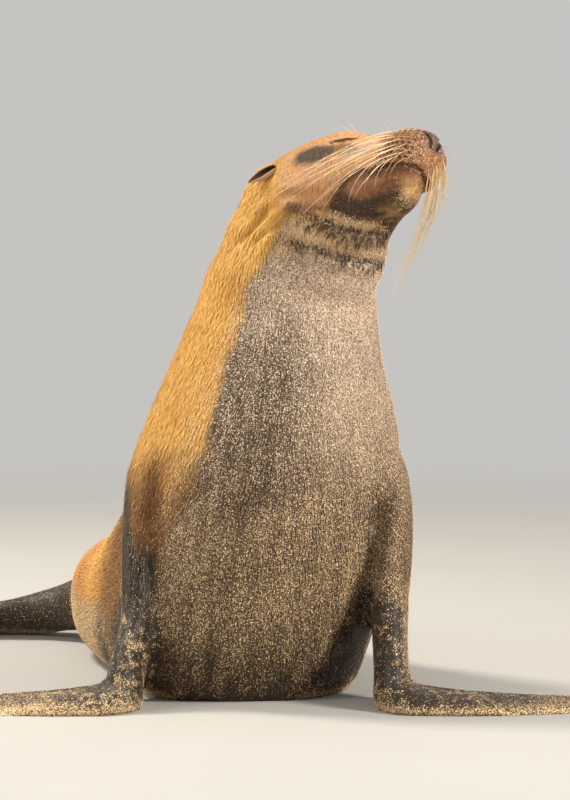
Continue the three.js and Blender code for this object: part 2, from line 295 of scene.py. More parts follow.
here = points_of(skin_mesh)
limb = belongs(here)
zone = head_zone(here, -30, -90) | ((limb["hand"] > 0.5) & (here[:, 2] > 1 * MM)) | (limb["foot"] > 0.8)
here = split(skin_mesh, zone)
weight = head_zone(here, -30, -90) * 0.8 + 0.35 * belongs(here)["hand"] * (here[:, 2] > 3 * MM)
put_points(skin_mesh, relax(here, edges_of(skin_mesh), np.clip(weight, 0, 0.8), 5))

here = points_of(skin_mesh)
here = split(skin_mesh, head_zone(here, 72, -62))
put_points(skin_mesh, relax(here, edges_of(skin_mesh), head_zone(here, 60, -70) * 0.7, 4))

EYE_AT = (124, 43, 23)
MOUTH = {
    -1: [(122, -43, -42), (132, -43, -34), (144, -42, -28), (158, -38, -29), (169, -36, -32), (182, -35, -32),
         (197, -33, -32), (210, -28, -34), (219, -21, -35), (224, -11, -38), (222, -3, -44)],
    1: [(122, -43, -42), (132, -43, -34), (144, -42, -29), (160, -38, -33), (180, -35, -38), (196, -29, -43),
        (206, -21, -46), (214, -12, -47), (219, -4, -46), (222, 3, -44)],
}


def smooth_line(rows, count=24):
    """A rounded line through the rows (Catmull-Rom), as count points."""
    rows = np.array(rows, float)
    ends = np.vstack([2 * rows[0] - rows[1], rows, 2 * rows[-1] - rows[-2]])
    out = []
    for t in np.linspace(0, len(rows) - 1, count):
        k = min(int(t), len(rows) - 2)
        w = t - k
        a, b, c, d = ends[k:k + 4]
        bend, twist = 2 * a - 5 * b + 4 * c - d, 3 * b - a - 3 * c + d
        out.append(0.5 * (2 * b + (c - a) * w + bend * w**2 + twist * w**3))
    return np.array(out)


def on_face(rows, side=-1, lift=0):
    """A rounded line on the face, from rows for its right side, in metres; side 1 mirrors it."""
    line = smooth_line([(a, b, c + lift) for a, b, c in rows])
    return np.array([face_point(a, b if side < 0 else -b, c) for a, b, c in line])


def near_features(points):
    """Where the lids, the lips and the nostrils are."""
    close = np.full(len(points), 1e9)
    for side in (-1, 1):
        eye = face_point(EYE_AT[0], side * EYE_AT[1], EYE_AT[2])
        close = np.minimum(close, np.linalg.norm(points - eye, axis=1) - 17 * MM)
        close = np.minimum(close, along(on_face(MOUTH[side], side), points)[0])
    close = np.minimum(close, np.linalg.norm(points - face_point(229, 0, 4), axis=1) - 12 * MM)
    return close < 9 * MM


here = split(skin_mesh, near_features(points_of(skin_mesh)))
put_points(skin_mesh, relax(here, edges_of(skin_mesh), near_features(here) * 0.6, 3))
print("skin now has", len(here), "points and", triangles(skin_mesh), "triangles")

# %% [markdown]
# ## Sculpt the skin
# Lids, lips, nostrils and folds are pressed into the clay along lines. A press moves each point in
# along its own normal, most at the line and less with distance, so a handful of numbers makes a
# crease with soft shoulders. A swell is the same move outward. The first press is all over: the
# skin sinks by the depth of the coat that will lie on it.


# %% Tools to press and swell
class Clay:
    """The skin while it is being sculpted."""

    def __init__(self, mesh):
        self.mesh = mesh
        self.points = points_of(mesh)
        self.refresh()

    def refresh(self):
        put_points(self.mesh, self.points)
        self.normals = normals_of(self.mesh)
        corners = [list(p.vertices) for p in self.mesh.polygons]
        self.tree = BVHTree.FromPolygons([Vector(p) for p in self.points], corners)

    def press(self, path, width, depth, fade=0.15):
        """Pushes in along a path by depth, over a half width, both in mm; a negative depth swells."""
        path = np.array([self.tree.find_nearest(Vector(p))[0] for p in path])
        gap, share, _ = along(path, self.points)
        ends = soft(share, 0, fade) * soft(1 - share, 0, fade) if fade else 1
        amount = depth * MM * ends * hump(gap, width * MM)
        self.points -= self.normals * amount[:, None]

    def swell(self, centre, width, height):
        gap = np.linalg.norm(self.points - centre, axis=1)
        self.points += self.normals * (height * MM * hump(gap, width * MM))[:, None]


def world_line(rows, shift=(0, 0, 0)):
    """A rounded line through rows of world coordinates in mm, moved by shift, in metres."""
    return smooth_line(np.array(rows, float) + shift) * MM


clay = Clay(skin_mesh)
limb = belongs(clay.points)
f = in_head(clay.points)[0]
bare = np.maximum(limb["hand"], limb["foot"] * 0.6)
snout = soft(f, 130, 200)
COAT_DEPTH = 2.4
OFF_FLOOR = 0.3 * MM
depth = COAT_DEPTH * (1 - 0.85 * bare) * (1 - 0.6 * snout)
down_face = (clay.points[:, 2] < 4 * MM) & (clay.normals[:, 2] < -0.3)
depth[down_face] = 0
clay.points -= clay.normals * (depth * MM)[:, None]
clay.points[:, 2] = np.maximum(clay.points[:, 2], OFF_FLOOR)
clay.refresh()
print("skin drawn in by", round(float(depth.min()), 2), "to", round(float(depth.max()), 2), "mm")

# %% [markdown]
# ## The face
# The closed lids meet in a fine slit over each eyeball, with a crease above and below. The lips part
# in a line that starts below the eye, curves over the chin and turns down at its corner. Over the
# front teeth the upper lip swells into two whisker pads, with a groove between them under the nose.

# %% Lids, lips, nose and pads
SLIT = [(104, -53, 25.5), (109, -53, 23), (116, -52.5, 21), (123, -50.5, 20.2), (130, -47.2, 21),
        (135, -43.5, 22.5), (139, -39.5, 25)]
LID_FOLD = [(101, -51, 32), (113, -50, 35), (125, -47, 36), (137, -40, 36)]
UNDER_EYE = [(102, -58, 12), (116, -57, 8), (131, -51, 8), (145, -42, 14)]
NOSTRIL = [(229, -4.5, -7), (234, -6, -2), (234, -8.5, 5), (229, -12.5, 12), (222, -15, 15)]
LIP_CORNER = [(122, -43, -42), (117, -42, -49), (116, -40, -56)]
LIP_GROOVE = [(238, 0, -6), (232, 0, -18), (226, 0, -30), (223, 0, -42)]
NOSE_GROOVE = [(226, 0, 22), (232, 0, 12), (236, 0, 2)]
for side in (-1, 1):
    clay.press(on_face(LID_FOLD, side), 3.4, 1.4, 0.35)
    clay.press(on_face(UNDER_EYE, side), 4.0, 1.4, 0.3)
    clay.press(on_face(SLIT, side, 6), 4.2, -1.5, 0.2)
    clay.press(on_face(SLIT, side, -5), 3.6, -0.9, 0.2)
    clay.refresh()
    clay.press(on_face(SLIT, side), 2.0, 3.2, 0.25)
    clay.refresh()
    lips = MOUTH[side]
    clay.press(on_face(lips[3:], side, 9), 9.0, -2.6, 0.2)
    clay.press(on_face(lips[1:], side, -7), 6.5, 4.2, 0.2)
    clay.press(on_face(lips[3:], side, -20), 8.0, -1.6, 0.2)
    clay.refresh()
    clay.press(on_face(lips, side), 2.4, 6.0, 0.0)
    clay.refresh()
    clay.press(on_face(LIP_CORNER, side), 3.0, 2.0, 0.3)
    clay.press(on_face(NOSTRIL, side), 1.9, 5.5, 0.15)
    clay.swell(face_point(232, side * 14, 0), 6, 1.4)
    clay.refresh()
clay.press(np.array([face_point(*p) for p in LIP_GROOVE]), 2.2, 2.2, 0.1)
clay.press(np.array([face_point(*p) for p in NOSE_GROOVE]), 3.0, 1.2, 0.2)
clay.refresh()
print("face sculpted")

# %% [markdown]
# ## Folds of the neck and throat
# The head is lifted and turned, so the skin of the throat gathers in two rolls under the jaw and
# a few shallow folds cross the nape and the cheek. On the far side, where the neck is closed up by
# the turn, the folds are deeper.

# %% Folds
THROAT_FOLDS = [
    [(36, -86, 612), (46, -90, 605), (77, -101, 596), (107, -114, 585), (138, -110, 580), (152, -92, 582)],
    [(22, -72, 580), (36, -79, 573), (71, -97, 562), (101, -99, 552), (130, -82, 546), (148, -52, 545)],
]
NECK_FOLDS = [
    [(-41, -37, 560), (-22, -49, 579), (-1, -56, 604), (15, -66, 620)],
    [(-20, -60, 560), (-8, -66, 575), (8, -74, 590), (26, -84, 600)],
    [(15, -71, 623), (28, -82, 629), (40, -92, 629), (58, -104, 626)],
]
NECK_BORDER = [(58, -105, 622), (38, -88, 608), (20, -80, 585), (8, -80, 560), (0, -80, 530), (-10, -84, 498)]
FAR_FOLDS = [
    [(150, -30, 560), (132, 20, 552), (110, 60, 556), (80, 90, 566)],
    [(142, -10, 530), (134, 30, 524), (112, 72, 528), (76, 104, 540)],
    [(146, 0, 500), (136, 44, 496), (108, 84, 500)],
]
for path in THROAT_FOLDS:
    clay.press(world_line(path), 5.5, 4.8, 0.25)
    clay.press(world_line(path, (0, 0, -13)), 7.0, -3.0, 0.3)
clay.press(world_line(NECK_BORDER), 6.0, 6.0, 0.3)
clay.press(world_line(NECK_BORDER, (-14, 8, 2)), 7.0, -3.0, 0.3)
for path in NECK_FOLDS:
    clay.press(world_line(path), 5.5, 5.5, 0.35)
    clay.press(world_line(path, (-4, 0, 12)), 6.0, -2.0, 0.35)
for path in FAR_FOLDS:
    clay.press(world_line(path), 7.0, 2.6, 0.35)
clay.refresh()
print("folds pressed:", len(THROAT_FOLDS) + len(NECK_FOLDS) + len(FAR_FOLDS))

# %% [markdown]
# ## Fingers and toes
# A fore flipper hides five fingers that fan out from the wrist. They show as low ridges with
# shallow valleys between. The toes of a hind flipper are freer, with deeper valleys that run on
# into notches at the tip.

# %% Valleys between fingers and toes
for way, shift in ((-1, -10), (1, 0)):
    wrist = (way * 178 + shift, -132, 26)
    for reach, across in ((418, -140), (440, -118), (418, -92), (372, -76)):
        tip = (way * reach + shift, across, 12)
        clay.press(world_line([wrist, (way * 290 + shift, (across - 132) / 2 - 4, 18), tip]), 4.5, 1.7, 0.3)
TOES = {
    "right": ((-352, 556, 34), [(-556, 612, 6), (-566, 586, 5), (-566, 560, 5), (-556, 534, 6)]),
    "left": ((44, 656, 32), [(178, 742, 6), (190, 718, 5), (190, 692, 5), (180, 668, 6)]),
}
for ankle, tips in TOES.values():
    for tip in tips:
        middle = tuple(np.array(ankle) * 0.5 + np.array(tip) * 0.5 + (0, 0, 4))
        clay.press(world_line([ankle, middle, tip]), 4.5, 3.2, 0.2)
clay.points[:, 2] = np.maximum(clay.points[:, 2], OFF_FLOOR)
clay.refresh()
print("fingers and toes marked")

# %% [markdown]
# ## Which way the hair lies, and where each colour is
# Hair lies from the nose to the tail and from the shoulder to the fingertips. Each point takes the
# direction of the nearest of the lines through the body, pressed flat onto the skin. The colours
# follow the body too. Instead of painting a picture, we store a few numbers on each point, such as
# how much golden coat or how much sand it has, and the finishes mix their colours from them.


# %% Lie of the hair
def lie_of_hair(points, normals):
    total = np.zeros_like(points)
    lines = [SKULL, SPINE, ARM_RIGHT, ARM_LEFT, HAND_RIGHT, HAND_LEFT, FOOT_RIGHT, FOOT_LEFT]
    girth = [60, 130, 45, 45, 40, 40, 45, 45]
    for path, size in zip(lines, girth):
        gap, _, way = along(path, points)
        total += way * (np.maximum(gap / (size * MM), 0.25) ** -5.0)[:, None]
    total -= normals * (total * normals).sum(1)[:, None]
    total /= np.linalg.norm(total, axis=1)[:, None] + 1e-12
    return total


def waves(points, size, seed):
    """Smooth irregular waves about as long as size (mm), from -1 to 1."""
    rng = np.random.RandomState(seed)
    total = np.zeros(len(points))
    for _ in range(9):
        way = rng.normal(size=3)
        way *= rng.uniform(0.7, 1.6) / (np.linalg.norm(way) * size * MM)
        total += np.sin(2 * np.pi * (points @ way) + rng.uniform(0, 6.3))
    return total / 4.2


points, normals = clay.points, clay.normals
hair = lie_of_hair(points, normals)
print("hair lies along", hair[:3].round(2).tolist())


# %% Where each colour is
def around(points):
    """Angle round the body from its front or belly, in degrees, positive to the animal's right."""
    height = points[:, 2] / MM
    levels = [200, 258, 335, 415, 482, 542, 596, 625]
    centre_x = np.interp(height, levels, [-8, 4, 14, 22, 31, 36, 33, 39])
    centre_y = np.interp(height, levels, [118, 74, 40, 24, 18, 14, 8, 0])
    return np.degrees(np.arctan2(centre_x * MM - points[:, 0], centre_y * MM - points[:, 1]))


def markings(points):
    """The masks of coat, face, black limbs with painted shade beside the arms, and sand, from 0 to 1, and the
    angle round the body.
    """
    x, y, z = (points / MM).T
    f, _, u = in_head(points)
    limb = belongs(points)
    angle = around(points)
    mottle = waves(points, 34, 7)
    ragged = waves(points, 34, 1) * 2.2 + waves(points, 11, 2) * 1.2
    edge = np.interp(z, [60, 200, 275, 330, 400, 524, 546, 588, 604], [36, 22, 23, 25, 28, 31, 22, 9, 0])
    right = soft(angle + ragged, edge - 1.5, edge + 2.5 + np.interp(z, [180, 330], [14, 1.5]))
    left = soft(-angle + ragged, 96, 108)
    raised = np.maximum(right, left)
    flank = soft(z + 6 * waves(points, 50, 3), 66, 104)
    rear = soft(y + 0.3 * (200 - z), 70, 150)
    gold = raised * (1 - rear) + flank * rear
    chin_line = np.interp(f, [40, 55, 100, 123, 147, 174, 198], [-52, -57, -60, -72, -75, -68, -55])
    face = soft(u - chin_line + waves(points, 12, 4) * 2, -3, 4) * soft(f, 20, 60)
    gold = np.maximum(gold * (1 - soft(f, 30, 60)), face)
    gap = np.minimum(along(ARM_RIGHT, points)[0], along(ARM_LEFT, points)[0]) / MM
    aside = np.where(x < 0, np.abs(x - np.interp(z, [80, 195, 345], [-158, -160, -140])) - 3,
                     np.abs(x - np.interp(z, [80, 195, 345], [158, 160, 140])) - 8)
    top = np.where(x > 0, np.interp(x, [105, 130, 160, 185], [85, 100, 125, 170]), 0)
    arm = (1 - soft(aside, 20, 30)) * (1 - soft(gap, 66, 80))
    arm *= 1 - soft(z + 10 * waves(points, 40, 5) + top, 240, 300)
    arm *= 1 - soft(y + 10 * mottle + 0.25 * z, 80, 130)
    # painted shadow: the armpit of the left arm and the gap between the right arm and the chest get the black
    # of the bare flippers
    painted_pit_shadow = soft(x - 0.62 * z + 8 * waves(points, 30, 6), 30, 46) * (1 - soft(z, 130, 165))
    painted_gap_shadow = soft(-x - 0.15 * z, 104, 116) * (1 - soft(z, 200, 250)) * (y > -75)
    painted_pit_shadow = np.maximum(painted_pit_shadow, painted_gap_shadow * (1 - soft(y + 10 * mottle, 40, 80)))
    painted_pit_shadow *= 1 - soft(y + 14 * mottle + 0.5 * z, 90, 150)
    arm = np.maximum(arm, painted_pit_shadow * (1 - limb["foot"]))
    # black skin of the flippers, with the painted armpit and chest-gap shadow in it
    black_skin_and_shade = np.maximum.reduce([arm, limb["hand"], soft(limb["foot"], 0.35, 0.8)])
    sand = (1 - gold) * (1 - black_skin_and_shade)
    return {"gold": gold, "face": face, "black_skin_and_shade": black_skin_and_shade, "sand": sand, "angle": angle}


marks = markings(points)
print({k: round(float(v.mean()), 3) for k, v in marks.items()})

# %% [markdown]
# ## Colours of the coat
# The colours are mixed here, point by point, from a few named paints and the masks. Dry coat is
# golden and turns brown low on the shoulder. The face is tan, with a dark furry patch behind the eye,
# a red-brown muzzle and a wet dark patch on the lower jaw. Where the chest was wet, sand has stuck to
# it, thick at the throat and thin toward the belly. Some shade and light are painted in as well: shadow
# in the armpits, under the lip pads and under the cheek, a chest darker on the animal's right and
# paler on its left, and a bright chin. Each point also gets the share of sand (grit) and how bare and
# moist it is (gloss).

# %% Paint the points
PAINT = {
    "gold": (0.71, 0.40, 0.088), "amber": (0.60, 0.28, 0.05), "brown": (0.19, 0.080, 0.022),
    "tan": (0.58, 0.30, 0.19), "cream": (0.62, 0.44, 0.33), "muzzle": (0.24, 0.086, 0.038),
    "patch": (0.032, 0.020, 0.016), "jaw": (0.040, 0.020, 0.012), "lit_chin": (1.0, 0.60, 0.26),
    "wet": (0.040, 0.024, 0.014), "damp": (0.105, 0.062, 0.036), "pale": (0.27, 0.19, 0.135),
    "black": (0.022, 0.016, 0.012), "leather": (0.105, 0.068, 0.048), "hip": (0.49, 0.195, 0.06),
    "rust": (0.52, 0.22, 0.085), "dusty": (0.22, 0.13, 0.065), "seam": (0.007, 0.004, 0.003),
    "throat": (0.68, 0.43, 0.22),
}


def plain(paint, points):
    """One paint at every point."""
    return np.tile(np.array(PAINT[paint]), (len(points), 1))


def blend(base, paint, amount):
    """base turned toward a named paint by amount, at every point."""
    return base + (np.array(PAINT[paint]) - base) * np.clip(amount, 0, 1)[:, None]


def spot(points, centre, radii, turn=0.0, edge=(0.75, 1.15)):
    """1 inside an oval of the face, given by its centre and radii along the head's axes, soft outside."""
    f, l, u = in_head(points)
    c, s = math.cos(math.radians(turn)), math.sin(math.radians(turn))
    df, du = f - centre[0], u - centre[2]
    gap = np.sqrt(((df * c + du * s) / radii[0]) ** 2 + ((du * c - df * s) / radii[2]) ** 2
                  + ((np.abs(l) - centre[1]) / radii[1]) ** 2)
    return 1 - soft(gap + 0.10 * waves(points, 12, 8), *edge)


JAW_PATCH = [(113, -33, -58), (126, -27, -65), (144, -17, -67), (164, -10, -65), (184, -6, -59)]
# the line of the painted shadow under the lower edge of the cheek
CHEEK_EDGE = [(28, -84, 614), (46, -96, 612), (70, -108, 612), (88, -118, 606)]
FACE_SPOTS = [
    ("cream", (150, 42, 4), (26, 16, 12), 15, 0.7), ("rust", (92, 52, -46), (44, 26, 15), -22, 0.5),
    ("rust", (178, 34, -6), (26, 20, 14), 30, 0.6), ("muzzle", (142, 40, -38), (34, 24, 17), 14, 0.45),
    ("muzzle", (196, 20, -44), (34, 34, 12), 0, 0.75),
]


def near_skin(path):
    """Distance of every point, in mm, to a path laid down on the sculpted skin."""
    return along(np.array([clay.tree.find_nearest(Vector(p))[0] for p in path]), points)[0] / MM


def painted(points, marks):
    """Colour, share of sand and moisture of every point."""
    x, y, z = (points / MM).T
    f, l, u = in_head(points)
    gold, black_skin_and_shade, face = marks["gold"], marks["black_skin_and_shade"], marks["face"]
    broad, fine = waves(points, 70, 11), waves(points, 16, 12)
    coat = plain("gold", points)
    coat = blend(coat, "amber", 0.35 + 0.3 * broad + 0.12 * fine)
    low = 1 - soft(z + 14 * broad, 235, 345)
    coat = blend(coat, "brown", low * (1 - soft(y, 120, 230)) * 0.95)
    coat = blend(coat, "hip", soft(y, 180, 300) * 0.8)
    streak = np.abs(x - np.interp(z, [215, 300], [-148, -128])) + 4 * fine
    stripe = hump(streak, 12) * soft(z, 190, 225) * (1 - soft(z, 285, 322))
    coat = blend(coat, "brown", stripe * (1 - soft(y, 30, 80)) * 0.9)
    under = blend(plain("damp", points), "wet", 0.25 + 0.3 * broad)
    # painted shade: the chest darkens toward the animal's right side
    under = blend(under, "wet", 0.45 * (1 - soft(x, -20, 90)))
    under = blend(under, "pale", soft(z + 0.5 * x + 20 * broad, 400, 560))
    # painted light: the chest pales toward the animal's left side
    under = blend(under, "pale", 0.8 * soft(x, 30, 100) * soft(z, 230, 380))
    under = blend(under, "wet", (1 - soft(z + 12 * broad, 20, 130)) * 0.75)
    under = blend(under, "throat", soft(z, 548, 572) * 0.85)
    under = blend(under, "dusty", soft(y, 120, 220) * 0.8)
    tone = coat * gold[:, None] + under * (1 - gold)[:, None]

    tan = blend(plain("tan", points), "gold", 0.35 + 0.25 * fine)
    tan = blend(tan, "cream", soft(u, 28, 50) * 0.15 * soft(f, 60, 110))
    tan = blend(tan, "amber", soft(u, 10, 40) * (1 - soft(f, 70, 150)) * 0.4)
    tan = blend(tan, "muzzle", soft(f - 0.9 * u, 158, 200) * 0.85)
    for paint, centre, radii, turn, share in FACE_SPOTS:
        tan = blend(tan, paint, spot(points, centre, radii, turn) * share)
    tan = blend(tan, "cream", soft(u, 12, 28) * soft(f, 140, 185) * 0.9)
    head = soft(f, 20, 62) * np.maximum(face, soft(u - 0.1 * f, -52, -40))
    tone += (tan - tone) * head[:, None]
    tone = blend(tone, "patch", spot(points, (88, 61, 10), (33, 26, 14), -4, (0.6, 1.25)) * 0.93)
    tone = blend(tone, "patch", spot(points, (126, 50, 8), (24, 18, 10), -6) * 0.4)
    for side in (-1, 1):
        gap = near_skin(on_face(JAW_PATCH, side))
        tone = blend(tone, "jaw", (1 - soft(gap + 2.5 * waves(points, 14, 9), 9, 22)) * 0.95)
    # painted light: the chin and the skin under it are painted far brighter than the tan face
    tone = blend(tone, "lit_chin", spot(points, (209, 4, -64), (19, 30, 20), -50, (0.35, 1.35)) * 0.95)
    tone = blend(tone, "lit_chin", spot(points, (180, 0, -96), (34, 40, 24), -50, (0.4, 1.3)) * 0.9)
    bands = np.zeros(len(points))
    for path, wide in zip(THROAT_FOLDS, (9, 8)):
        bands = np.maximum(bands, hump(near_skin(world_line(path)), wide))
    bands *= soft(-u, 30, 50)
    tone = blend(tone, "wet", bands * 0.3)
    for side in (-1, 1):
        # painted shadow: a dark band just under the lips, beneath the overhanging whisker pads
        tone = blend(tone, "jaw", 0.4 * hump(near_skin(on_face(MOUTH[side], side, -4)), 5))
    # painted shadow: a dark line along the lower edge of the cheek
    tone = blend(tone, "jaw", 0.5 * hump(near_skin(world_line(CHEEK_EDGE)), 5))
    # black for the bare flippers, and painted shadow in the armpit and beside the chest
    tone = blend(tone, "black", black_skin_and_shade * 0.97)
    lips = np.zeros(len(points))
    lip_width = np.interp(f, [195, 215], [2.2, 1.3])
    for side in (-1, 1):
        lips = np.maximum(lips, hump(near_skin(on_face(MOUTH[side], side)), lip_width))
        lips = np.maximum(lips, 0.9 * hump(near_skin(on_face(SLIT, side)), 1.8, 4))
        lips = np.maximum(lips, hump(near_skin(on_face(NOSTRIL, side)), 2.2))
    nose = spot(points, (233, 0, 5), (17, 21, 16), 20)
    tone = blend(tone, "leather", nose * 0.9)
    tone = blend(tone, "seam", lips * 0.95)

    levels = [20, 70, 200, 330, 430, 520, 546, 600]
    chest = np.interp(z, levels, [0.04, 0.15, 0.22, 0.16, 0.21, 0.42, 0.32, 0.24])
    drawn = waves(points * (1, 1, 0.3), 30, 21)
    chest = chest + 0.06 * broad + 0.07 * drawn + 0.22 * soft(x, 10, 110) * soft(z, 220, 380)
    grit = marks["sand"] * chest * (1 - 0.8 * bands) * (1 - head * 0.9)
    grit = np.maximum(grit, spot(points, (204, 4, -66), (28, 30, 24), -50, (0.3, 1.3)) * 0.16)
    grit = np.maximum(grit, spot(points, (224, 26, -22), (16, 20, 24), 0) * 0.12)
    grit = np.maximum(grit, soft(f, 208, 226) * 0.10)
    warm = np.maximum.reduce([soft(f, 120, 160), 1 - soft(z, 170, 440), soft(z, 540, 565)])
    foot_rim = 1 - soft(z + 3 * fine, 4, 15)
    dusted = 0.03 + 0.26 * soft(fine + 0.6 * broad, 0.0, 0.9) * (y < 200) + 0.5 * foot_rim
    dusted *= np.where(x < 0, 1 - 0.9 * soft(z, 90, 170), 0.7)
    dusted += 0.05 * soft(-x, 190, 240) * (y < 0)
    on_left = soft(x, 80, 115) * soft(z, 20, 60) * (1 - soft(x, 200, 230))
    tops = 0.22 * soft(x, 164, 184) + 0.32 * soft(z + 0.5 * x, 195, 235)
    grit = np.maximum(grit, black_skin_and_shade * (dusted + on_left * tops))
    grit = np.maximum(grit, (1 - marks["gold"]) * soft(y, 120, 200) * 0.42 * (1 - black_skin_and_shade))
    border = hump(marks["angle"] - 33, 7) * soft(z, 140, 300) * (1 - soft(z, 470, 560))
    grit = np.maximum(grit, border * 0.12)
    grit *= 1 - np.maximum(lips, nose * 0.7)
    gloss = np.maximum.reduce([0.55 * black_skin_and_shade, nose, lips])
    pads = soft(f - 0.25 * u, 168, 184) * (1 - soft(f, 226, 234)) * soft(u, -33, -27) * (1 - soft(u, 20, 30))
    wet = np.maximum(bands, 0.55 * soft(z, 548, 566) * marks["sand"] * (1 - head))
    pads *= soft(np.abs(l), 6, 14)
    return tone, {"grit": grit, "gloss": gloss, "warm": warm, "pads": pads, "wet": wet}


tone, extras = painted(points, marks)
print("mean colour", tone.mean(0).round(3), "sand", round(float(extras["grit"].mean()), 3))

# %% [markdown]
# ## Unwrap
# The coat's tufts will each bake into a small patch of a picture, at the place of their root. For
# that the skin needs an unwrap of its own shape. Smart Project cuts it by the way that the faces
# look, in the skin's own space.


# %% Finish the skin mesh and unwrap it
def put(mesh, name, kind, values, domain="POINT"):
    """Stores values as a named attribute: FLOAT, FLOAT_VECTOR or FLOAT_COLOR."""
    layer = mesh.attributes.get(name) or mesh.attributes.new(name, kind, domain)
    key = {"FLOAT": "value", "FLOAT_VECTOR": "vector", "FLOAT_COLOR": "color"}[kind]
    layer.data.foreach_set(key, np.ascontiguousarray(values, np.float32).ravel())


put(skin_mesh, "tone", "FLOAT_COLOR", np.column_stack([tone, np.ones(len(tone))]))
for name, values in extras.items():
    put(skin_mesh, name, "FLOAT", values)
put(skin_mesh, "hair", "FLOAT_VECTOR", hair)
skin_mesh.shade_smooth()
skin = bpy.data.objects.new("skin", skin_mesh)
bpy.context.scene.collection.objects.link(skin)
bpy.context.view_layer.objects.active = skin
skin.select_set(True)
bpy.ops.object.mode_set(mode="EDIT")
bpy.ops.mesh.select_all(action="SELECT")
bpy.ops.uv.smart_project(angle_limit=math.radians(66), island_margin=0.001)
bpy.ops.object.mode_set(mode="OBJECT")
skin_mesh.uv_layers[0].name = "Wrap"
print("unwrapped", len(skin_mesh.uv_layers[0].data), "corners")

# %% [markdown]
# ## A small language for finishes
# A finish is a tree of nodes. Written out node by node it is hard to read, so a socket is wrapped in
# a class that knows the usual signs: `1 - wet * 0.5` adds the Math nodes by itself. Any other node
# comes from one method that takes its type, its settings and its inputs.


# %% Sockets that can be added and multiplied
class Wire:
    """A socket that takes part in Python arithmetic."""

    def __init__(self, finish, socket):
        self.finish, self.socket = finish, socket

    def sum(self, sign, first, second):
        return self.finish.node("ShaderNodeMath", {"operation": sign}, {0: first, 1: second})

    def __add__(self, other):
        return self.sum("ADD", self, other)

    def __sub__(self, other):
        return self.sum("SUBTRACT", self, other)

    def __mul__(self, other):
        return self.sum("MULTIPLY", self, other)

    def __rsub__(self, other):
        return self.sum("SUBTRACT", other, self)

    __radd__, __rmul__ = __add__, __mul__


class Finish:
    """A procedural material under construction."""

    def __init__(self, name, **fixed):
        self.material = bpy.data.materials.new(name)
        self.material.use_nodes = True
        self.tree = self.material.node_tree
        self.shader = self.tree.nodes["Principled BSDF"]
        for socket, value in fixed.items():
            self.shader.inputs[socket.replace("_", " ")].default_value = value

    def node(self, kind, settings=None, inputs=None, out=0):
        made = self.tree.nodes.new(kind)
        for key, value in (settings or {}).items():
            setattr(made, key, value)
        for key, value in (inputs or {}).items():
            self.join(value, made.inputs[key])
        return Wire(self, made.outputs[out])

    def join(self, value, socket):
        if isinstance(value, Wire):
            self.tree.links.new(value.socket, socket)
        else:
            socket.default_value = value

    def set(self, socket, value):
        self.join(value, self.shader.inputs[socket])

    def place(self):
        return self.node("ShaderNodeTexCoord", out="Object")

    def stored(self, name, out="Fac"):
        return self.node("ShaderNodeAttribute", {"attribute_name": name}, out=out)

    def noise(self, scale, detail=2.0, rough=0.5, at=None):
        inputs = {"Vector": at or self.place(), "Scale": scale, "Detail": detail, "Roughness": rough}
        return self.node("ShaderNodeTexNoise", None, inputs, "Fac")

    def cells(self, scale, out="Distance"):
        return self.node("ShaderNodeTexVoronoi", None, {"Vector": self.place(), "Scale": scale}, out)

    def vector(self, sign, first, second=(0, 0, 0), out=0):
        return self.node("ShaderNodeVectorMath", {"operation": sign}, {0: first, 1: second}, out)

    def rise(self, value, low, high):
        """0 where value is under low, 1 over high, smooth between."""
        settings = {"interpolation_type": "SMOOTHSTEP", "clamp": True}
        inputs = {"Value": value, "From Min": low, "From Max": high}
        return self.node("ShaderNodeMapRange", settings, inputs)

    def mix(self, first, second, amount, way="MIX"):
        """Two colours mixed by amount, each a wire or a (red, green, blue)."""
        first, second = (c if isinstance(c, Wire) else (*c, 1.0) for c in (first, second))
        settings = {"data_type": "RGBA", "blend_type": way}
        return self.node("ShaderNodeMix", settings, {0: amount, 6: first, 7: second}, 2)

    def bump(self, height, strength, distance):
        inputs = {"Height": height, "Strength": strength, "Distance": distance}
        self.set("Normal", self.node("ShaderNodeBump", None, inputs))


# %% [markdown]
# ## The finish of coat and skin
# One recipe serves the skin and the tufts over it, so their markings agree. It reads the stored
# colour, streaks it like hair, then scatters grains: small cells of which only a share, the grit,
# turn to pale sand. The grains also stand up in the bump. Tufts are darker at the root, paler at
# the tip, and each has its own shade.


# %% Coat finish
SAND = (0.80, 0.63, 0.47)
SAND_GOLD = (0.74, 0.50, 0.24)
GRAIN_CELLS = 880


def follicles(finish):
    """Rows of dots on the whisker pads, set out along the head's own axes."""
    off = finish.vector("SUBTRACT", finish.place(), tuple(HEAD_AT * MM))
    ahead, above = (finish.vector("DOT_PRODUCT", off, tuple(axis), 1) for axis in (FORWARD, UPWARD))
    row = above * 165 + ahead * 22
    step = finish.node("ShaderNodeMath", {"operation": "FLOOR"}, {0: row})
    across = finish.node("ShaderNodeMath", {"operation": "FRACT"}, {0: ahead * 150 + step * 0.37}) - 0.5
    high = finish.node("ShaderNodeMath", {"operation": "FRACT"}, {0: row}) - 0.5
    return finish.rise(across * across + high * high, 0.13, 0.05)


